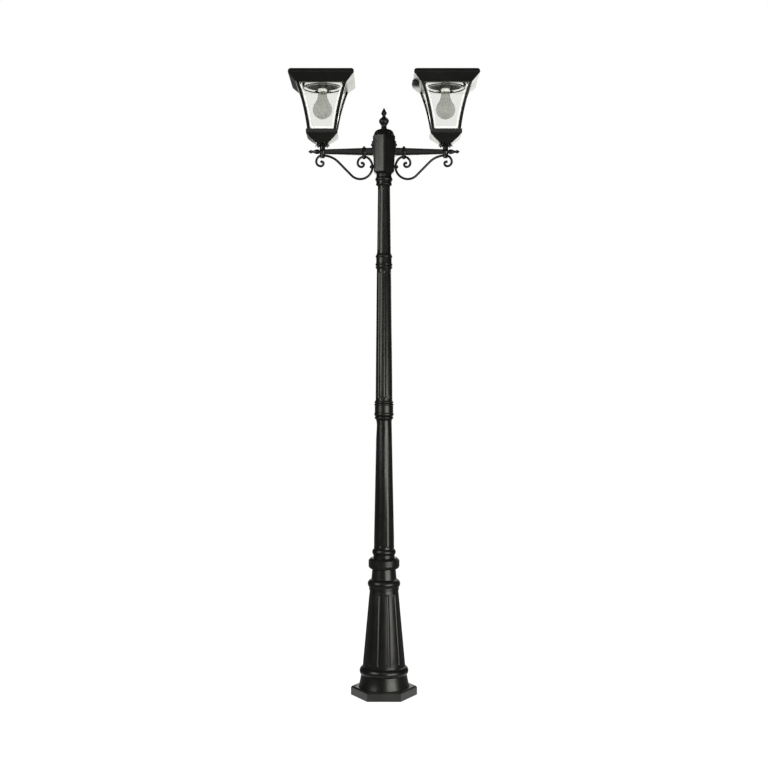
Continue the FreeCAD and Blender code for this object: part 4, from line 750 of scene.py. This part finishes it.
def pane(shape, height):
    """Front pane: a bent sheet with its outer side raised inside a bevel."""
    bmesh.ops.create_grid(shape, x_segments=PANE_COLUMNS, y_segments=PANE_ROWS, size=1.0)
    for vert in shape.verts:
        rise = (vert.co.y + 1) / 2 * height
        half = flare(rise)
        vert.co = (vert.co.x * (half - PANE_SIDE_ROOM), PANE_SET_BACK + BEVEL_DEPTH - half, rise)
    for face in shape.faces:
        if face.normal.y > 0:
            face.normal_flip()
    outer = shape.faces[:]
    bmesh.ops.solidify(shape, geom=outer, thickness=PANE_THICK - BEVEL_DEPTH)
    outer = [face for face in outer if face.is_valid]
    bevel = bmesh.ops.inset_region(shape, faces=outer, thickness=BEVEL_WIDTH, depth=BEVEL_DEPTH,
                                   use_even_offset=True, use_boundary=True)
    # The front and rear bevels get the white painted highlight. The strip under the roof keeps the
    # field's grey.
    for face in bevel["faces"]:
        face.material_index = int(face.calc_center_median().z < height - BEVEL_WIDTH)


print("flare:", round(flare(0.0), 4), "to", round(flare(CAGE_HEIGHT), 4), "m")

# %% Bent panes
PANE_COUNT = 4
PANE_FINISHES = [pane_field, pane_bevel_painted_white, pane_clear_bevel]
CLEAR_BEVEL = PANE_FINISHES.index(pane_clear_bevel)
PANE_SHARP = 4.0

for side in SIDES:
    low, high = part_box(side + "_panes")
    shape = bmesh.new()
    pane(shape, high.z - low.z)
    ring_of(shape, PANE_COUNT)
    bmesh.ops.recalc_face_normals(shape, faces=shape.faces)
    for face in shape.faces:
        if face.material_index and abs(face.normal.x) > abs(face.normal.y):
            face.material_index = CLEAR_BEVEL
    move(shape, (AXIS_X[side], 0, low.z))
    panes = finished(side + "_bevelled_panes", shape, PANE_FINISHES, side + "_head",
                     [side + "_panes"], sharp=PANE_SHARP)
    print(panes.name, "faces:", len(panes.data.polygons))

# %% [markdown]
# ## Bulbs
#
# The bulb hangs cap up. Its envelope is blown glass with faint ribs down its sides, a grey tint, and a
# wall that can be seen at its rim. The profile runs up the outside and back down the inside, so one
# spin makes a closed wall. Every fourth step is drawn in a little for the ribs, which fade out below the
# cap.

# %% Bulb profile
BULB_RADIUS = 0.035
NECK_RADIUS = 0.015
SHOULDER_ANGLE = math.radians(35)
GLOBE_POINTS = 18
SHOULDER_POINTS = 8


def arc(centre, radius, start, end, count):
    """Points of an arc as (radius, height), by angle from the horizontal."""
    angles = [start + (end - start) * i / count for i in range(count + 1)]
    return [(centre[0] + radius * math.cos(a), centre[1] + radius * math.sin(a)) for a in angles]


def envelope_side(inset, height):
    """Profile of the bulb from its tip, at zero, up to the end of its neck."""
    cos, sin = math.cos(SHOULDER_ANGLE), math.sin(SHOULDER_ANGLE)
    blend = (BULB_RADIUS * cos - NECK_RADIUS) / (1 - cos)
    neck_z = BULB_RADIUS * (1 + sin) + blend * sin
    globe = arc((0, BULB_RADIUS), BULB_RADIUS - inset, -math.pi / 2, SHOULDER_ANGLE, GLOBE_POINTS)
    run = arc((NECK_RADIUS + blend, neck_z), blend + inset, math.pi + SHOULDER_ANGLE, math.pi,
              SHOULDER_POINTS)
    return [(0.0, inset)] + globe[1:] + run[1:] + [(NECK_RADIUS - inset, height)]


print("bulb:", 2 * BULB_RADIUS, "m across")

# %% Bulb envelopes
BULB_WALL = 0.0012
BULB_STEPS = 64
RIB_COUNT = 16
RIB_DEPTH = 0.012
SMOOTH_NECK = 0.02
RIB_FADE = 0.03

for side in SIDES:
    low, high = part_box(side + "_bulb_glass")
    height = high.z - low.z
    shape = bmesh.new()
    wall = envelope_side(0.0, height) + envelope_side(BULB_WALL, height)[::-1]
    turn(shape, wall, BULB_STEPS)
    for vert in shape.verts:
        wave = math.cos(RIB_COUNT * math.atan2(vert.co.y, vert.co.x))
        rib = 1 - RIB_DEPTH * (0.5 + 0.5 * wave)
        fade = min(1.0, max(0.0, (height - SMOOTH_NECK - vert.co.z) / RIB_FADE))
        vert.co.x *= 1 + (rib - 1) * fade
        vert.co.y *= 1 + (rib - 1) * fade
    move(shape, (AXIS_X[side], 0, low.z))
    envelope = finished(side + "_bulb_envelope", shape, [smoke], side + "_bulb",
                        [side + "_bulb_glass"])
    print(envelope.name, "faces:", len(envelope.data.polygons))

# %% [markdown]
# The collar and the screw cap are one turned piece: a smooth white skirt with rounded edges, and above
# it, inside the lamp holder, the rolled thread and the contact. A true helix would be hidden there, so
# the thread is a stack of rounded rings in the same profile.

# %% Bulb caps
COLLAR_PROFILE = (
    (0, 0), (14.6, 0), (15.5, 0.4), (16.0, 1.4), (16.0, 9.3), (15.6, 10.5), (14.6, 11.3), (12.6, 11.3),
)
THREAD_FOOT = 12.0
THREAD_TURNS = 5
THREAD_PITCH = 3.4
THREAD_RING = ((12.1, 0), (12.8, 0.8), (13.0, 1.4), (12.8, 2.0), (12.1, 2.8))
CAP_END = ((12.4, 29.4), (9.0, 31.3), (5.0, 31.3), (5.0, 32.7), (3.6, 33.3), (0, 33.3))
CAP_SHARP = 60.0

profile = list(COLLAR_PROFILE)
for i in range(THREAD_TURNS):
    profile += [(radius, THREAD_FOOT + THREAD_PITCH * i + rise) for radius, rise in THREAD_RING]
profile += CAP_END
for side in SIDES:
    shape = bmesh.new()
    turn(shape, millimetres(profile), TURN_STEPS)
    move(shape, (AXIS_X[side], 0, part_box(side + "_bulb_cap")[0].z))
    cap = finished(side + "_bulb_collar", shape, [porcelain], side + "_bulb",
                   [side + "_bulb_cap"], sharp=CAP_SHARP)
    print(cap.name, "faces:", len(cap.data.polygons))

# %% [markdown]
# The lamp holder above the collar is a dark moulded shell, a turned skirt with a flange against the dish.
# Only the bulb's own collar is white, so it stands out below it.

# %% Lamp holders
HOLDER_PROFILE = (
    (14.2, 0), (15.8, 0), (16.6, 0.5), (17.0, 1.4), (17.0, 18.8), (17.4, 19.8), (21.4, 20.1),
    (22.0, 20.6), (22.0, 21.4), (21.4, 22.0), (17.4, 22.0), (16.8, 24.4), (15.6, 25.0), (0, 25.0),
    (0, 23.0), (13.4, 23.0), (14.2, 22.2), (14.2, 0),
)

for side in SIDES:
    low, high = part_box(side + "_socket")
    shape = bmesh.new()
    turn(shape, millimetres(HOLDER_PROFILE), TURN_STEPS)
    move(shape, (AXIS_X[side], 0, low.z))
    holder = finished(side + "_lamp_holder", shape, [switch_black], side + "_head",
                      [side + "_socket"])
    print(holder.name, "faces:", len(holder.data.polygons), "CAD height:", round(high.z - low.z, 4))

# %% [markdown]
# ## Ceiling plates
#
# The ceiling is a polished plate with a round dish pressed up into it. A rolled bead runs around the
# dish. It is bright below and coloured dark on its sides as painted shade. Then comes a bright lip, and
# the dish itself is coloured dark as a painted reflection, against which the bulb's white collar stands
# out. Cutting a round dish into a square plate would need a boolean. Here a circle is the start instead:
# its outer edge is drawn out to the plate's square edge, and its inner edge is extruded ring by ring,
# around the bead and up into the dish.

# %% Rings
def next_ring(shape, rim):
    """Extrudes a rim of edges and gives the new faces, vertices and rim."""
    new = bmesh.ops.extrude_edge_only(shape, edges=rim)["geom"]
    faces = [g for g in new if isinstance(g, bmesh.types.BMFace)]
    verts = [g for g in new if isinstance(g, bmesh.types.BMVert)]
    edges = [g for g in new if isinstance(g, bmesh.types.BMEdge) and all(v in verts for v in g.verts)]
    return faces, verts, edges


def facing(shape, up):
    """Turns all faces of an open sheet up or down."""
    bmesh.ops.recalc_face_normals(shape, faces=shape.faces)
    for face in shape.faces:
        if face.normal.z * up < 0:
            face.normal_flip()


print("ring helpers:", next_ring.__name__, facing.__name__)

# %% Ceiling plates
DISH_EDGE = 0.0702
DISH_RINGS = (
    (70.0, -2.2), (67.8, -2.4), (67.6, 0.2), (63.4, 0.4), (61.6, 2.2), (59.0, 5.0), (55.6, 7.4),
    (51.0, 10.6), (47.0, 14.0), (43.5, 16.4), (38.0, 16.8), (17.3, 16.8),
)
# Rings coloured dark: the bead's sides are painted shade and the dish lining is a painted reflection.
PAINTED_DARK_RINGS = (0, 2, 6, 7, 8, 9, 10, 11)
DISH_STEPS = 64
PLATE_THICK = 0.001
DOWN = -1

for side in SIDES:
    low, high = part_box(side + "_reflector")
    half = (high.x - low.x) / 2
    shape = bmesh.new()
    bmesh.ops.create_circle(shape, cap_ends=False, radius=DISH_EDGE, segments=DISH_STEPS)
    rim = shape.edges[:]
    for vert in next_ring(shape, rim)[1]:
        vert.co *= half / max(abs(vert.co.x), abs(vert.co.y))
    for number, (radius, height) in enumerate(DISH_RINGS):
        faces, verts, rim = next_ring(shape, rim)
        for vert in verts:
            flat = vert.co.to_2d().normalized() * radius / 1000
            vert.co = (flat.x, flat.y, height / 1000)
        for face in faces:
            face.material_index = int(number in PAINTED_DARK_RINGS)
    facing(shape, DOWN)
    bmesh.ops.solidify(shape, geom=shape.faces[:], thickness=PLATE_THICK)
    bmesh.ops.recalc_face_normals(shape, faces=shape.faces)
    move(shape, (AXIS_X[side], 0, low.z))
    plate = finished(side + "_ceiling_plate", shape, [bright, painted_dark_finish], side + "_head",
                     [side + "_reflector"])
    print(plate.name, "faces:", len(plate.data.polygons))

# %% [markdown]
# ## Solar panels
#
# The roof's flat top is a sealed panel of square cells. A grid with one face for each cell gives them:
# insetting every face on its own leaves a thin border around each, which shows the pale back sheet, and
# the panel's own edge is bevelled where the cover glass ends.

# %% Solar panels
CELLS_ACROSS = 6
CELL_GAP = 0.0008
PANEL_MARGIN = 0.006
PANEL_THICK = 0.0038
PANEL_EDGE = 0.0006
PANEL_FINISHES = [solar, back_sheet]
CELL, SHEET = 0, 1
UP = 1


def reach(point):
    """How far a point is from the upright axis, along X or Y, whichever is more."""
    return max(abs(point.x), abs(point.y))


for side in SIDES:
    low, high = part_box(side + "_solar_panel")
    half = (high.x - low.x) / 2
    field = half - PANEL_MARGIN
    shape = bmesh.new()
    bmesh.ops.create_grid(shape, x_segments=CELLS_ACROSS, y_segments=CELLS_ACROSS, size=field)
    border = [edge for edge in shape.edges if edge.is_boundary]
    for vert in next_ring(shape, border)[1]:
        for axis in (0, 1):
            if abs(vert.co[axis]) > field - MERGE:
                vert.co[axis] = math.copysign(half, vert.co[axis])
    facing(shape, UP)
    for face in shape.faces:
        face.material_index = SHEET
    cells = [face for face in shape.faces if reach(face.calc_center_median()) < field]
    bmesh.ops.inset_individual(shape, faces=cells, thickness=CELL_GAP)
    for face in cells:
        face.material_index = CELL
    bmesh.ops.solidify(shape, geom=shape.faces[:], thickness=PANEL_THICK)
    rim = [e for e in shape.edges if all(abs(v.co.z) < MERGE for v in e.verts)
           and reach((e.verts[0].co + e.verts[1].co) / 2) > half - MERGE]
    bmesh.ops.bevel(shape, geom=rim, offset=PANEL_EDGE, offset_type="OFFSET", affect="EDGES",
                    segments=EASE_SEGMENTS, profile=0.5, material=-1)
    bmesh.ops.recalc_face_normals(shape, faces=shape.faces)
    move(shape, (AXIS_X[side], 0, high.z))
    panel = finished(side + "_cell_panel", shape, PANEL_FINISHES, side + "_head",
                     [side + "_solar_panel"])
    print(panel.name, "faces:", len(panel.data.polygons))

# %% [markdown]
# ## Screws and bolts
#
# The visible fasteners are round heads with a six-sided key socket. A boolean could cut the socket, but
# it leaves ragged faces on so small a head. So the head is a spun dome whose middle drops into the
# socket, and the socket's rings are drawn to a hexagon.

# %% Key heads
HEAD_PROFILE = (
    # shares of the head's radius and height
    (0, 0), (0.96, 0), (1.0, 0.06), (1.0, 0.2), (0.95, 0.42), (0.82, 0.68), (0.64, 0.88), (0.5, 0.97),
    (0.46, 0.97), (0.45, 0.94), (0.45, 0.5), (0, 0.45),
)
HEAD_STEPS = 24
SOCKET_EDGE = 0.47
BELOW_SOCKET = 0.3
SIXTH = math.pi / 3


def key_head(shape, radius, height):
    """Round screw head with its seat at zero and a hexagon socket on top."""
    turn(shape, [(r * radius, z * height) for r, z in HEAD_PROFILE], HEAD_STEPS)
    for vert in shape.verts:
        if vert.co.z > BELOW_SOCKET * height and vert.co.to_2d().length < SOCKET_EDGE * radius:
            lean = math.atan2(vert.co.y, vert.co.x) % SIXTH - SIXTH / 2
            vert.co.x *= math.cos(SIXTH / 2) / math.cos(lean)
            vert.co.y *= math.cos(SIXTH / 2) / math.cos(lean)


def headed(name, places, radius, height, turned, body, node):
    """Screw heads at places, each turned from upright by a matrix, in place of a CAD node."""
    whole = bpy.data.meshes.new(name + "_heads")
    shape = bmesh.new()
    for place, matrix in zip(places, turned):
        head = bmesh.new()
        key_head(head, radius, height)
        bmesh.ops.transform(head, matrix=Matrix.Translation(place) @ matrix, verts=head.verts)
        head.to_mesh(whole)
        head.free()
        shape.from_mesh(whole)
    bpy.data.meshes.remove(whole)
    piece = finished(name, shape, [steel_black], body, [node])
    print(piece.name, "heads:", len(places), "faces:", len(piece.data.polygons))


print("key heads: sockets", SOCKET_EDGE, "of the head's radius")

# %% Screws and bolts
TO_RIGHT = Matrix.Rotation(math.pi / 2, 4, "Y")
TO_LEFT = Matrix.Rotation(-math.pi / 2, 4, "Y")
UPRIGHT = Matrix.Identity(4)
DOWNWARDS = Matrix.Rotation(math.pi, 4, "X")
SIDE_SCREWS = (
    # name, CAD node, radius, height
    ("arm_key_screws", "arm_screws", 0.005, 0.0035),
    ("scroll_key_screws", "scroll_screws", 0.005, 0.004),
)
BOLT_RADIUS, BOLT_RISE = 0.0048, 0.0058
SCREW_RADIUS, SCREW_RISE = 0.003, 0.0022

for name, node, radius, height in SIDE_SCREWS:
    low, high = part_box(node)
    rise = (low.z + high.z) / 2
    places = [(high.x - height, 0, rise), (low.x + height, 0, rise)]
    headed(name, places, radius, height, [TO_RIGHT, TO_LEFT], "post", node)
low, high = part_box("scroll_bolts")
places = [(x, 0, high.z - BOLT_RISE) for x in (low.x + BOLT_RADIUS, high.x - BOLT_RADIUS)]
headed("scroll_key_bolts", places, BOLT_RADIUS, BOLT_RISE, [UPRIGHT, UPRIGHT], "post", "scroll_bolts")
for side in SIDES:
    low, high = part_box(side + "_roof_screws")
    places = [(x, y, low.z + SCREW_RISE) for x in (low.x + SCREW_RADIUS, high.x - SCREW_RADIUS)
              for y in (low.y + SCREW_RADIUS, high.y - SCREW_RADIUS)]
    headed(side + "_ceiling_screws", places, SCREW_RADIUS, SCREW_RISE, [DOWNWARDS] * len(places),
           side + "_head", side + "_roof_screws")
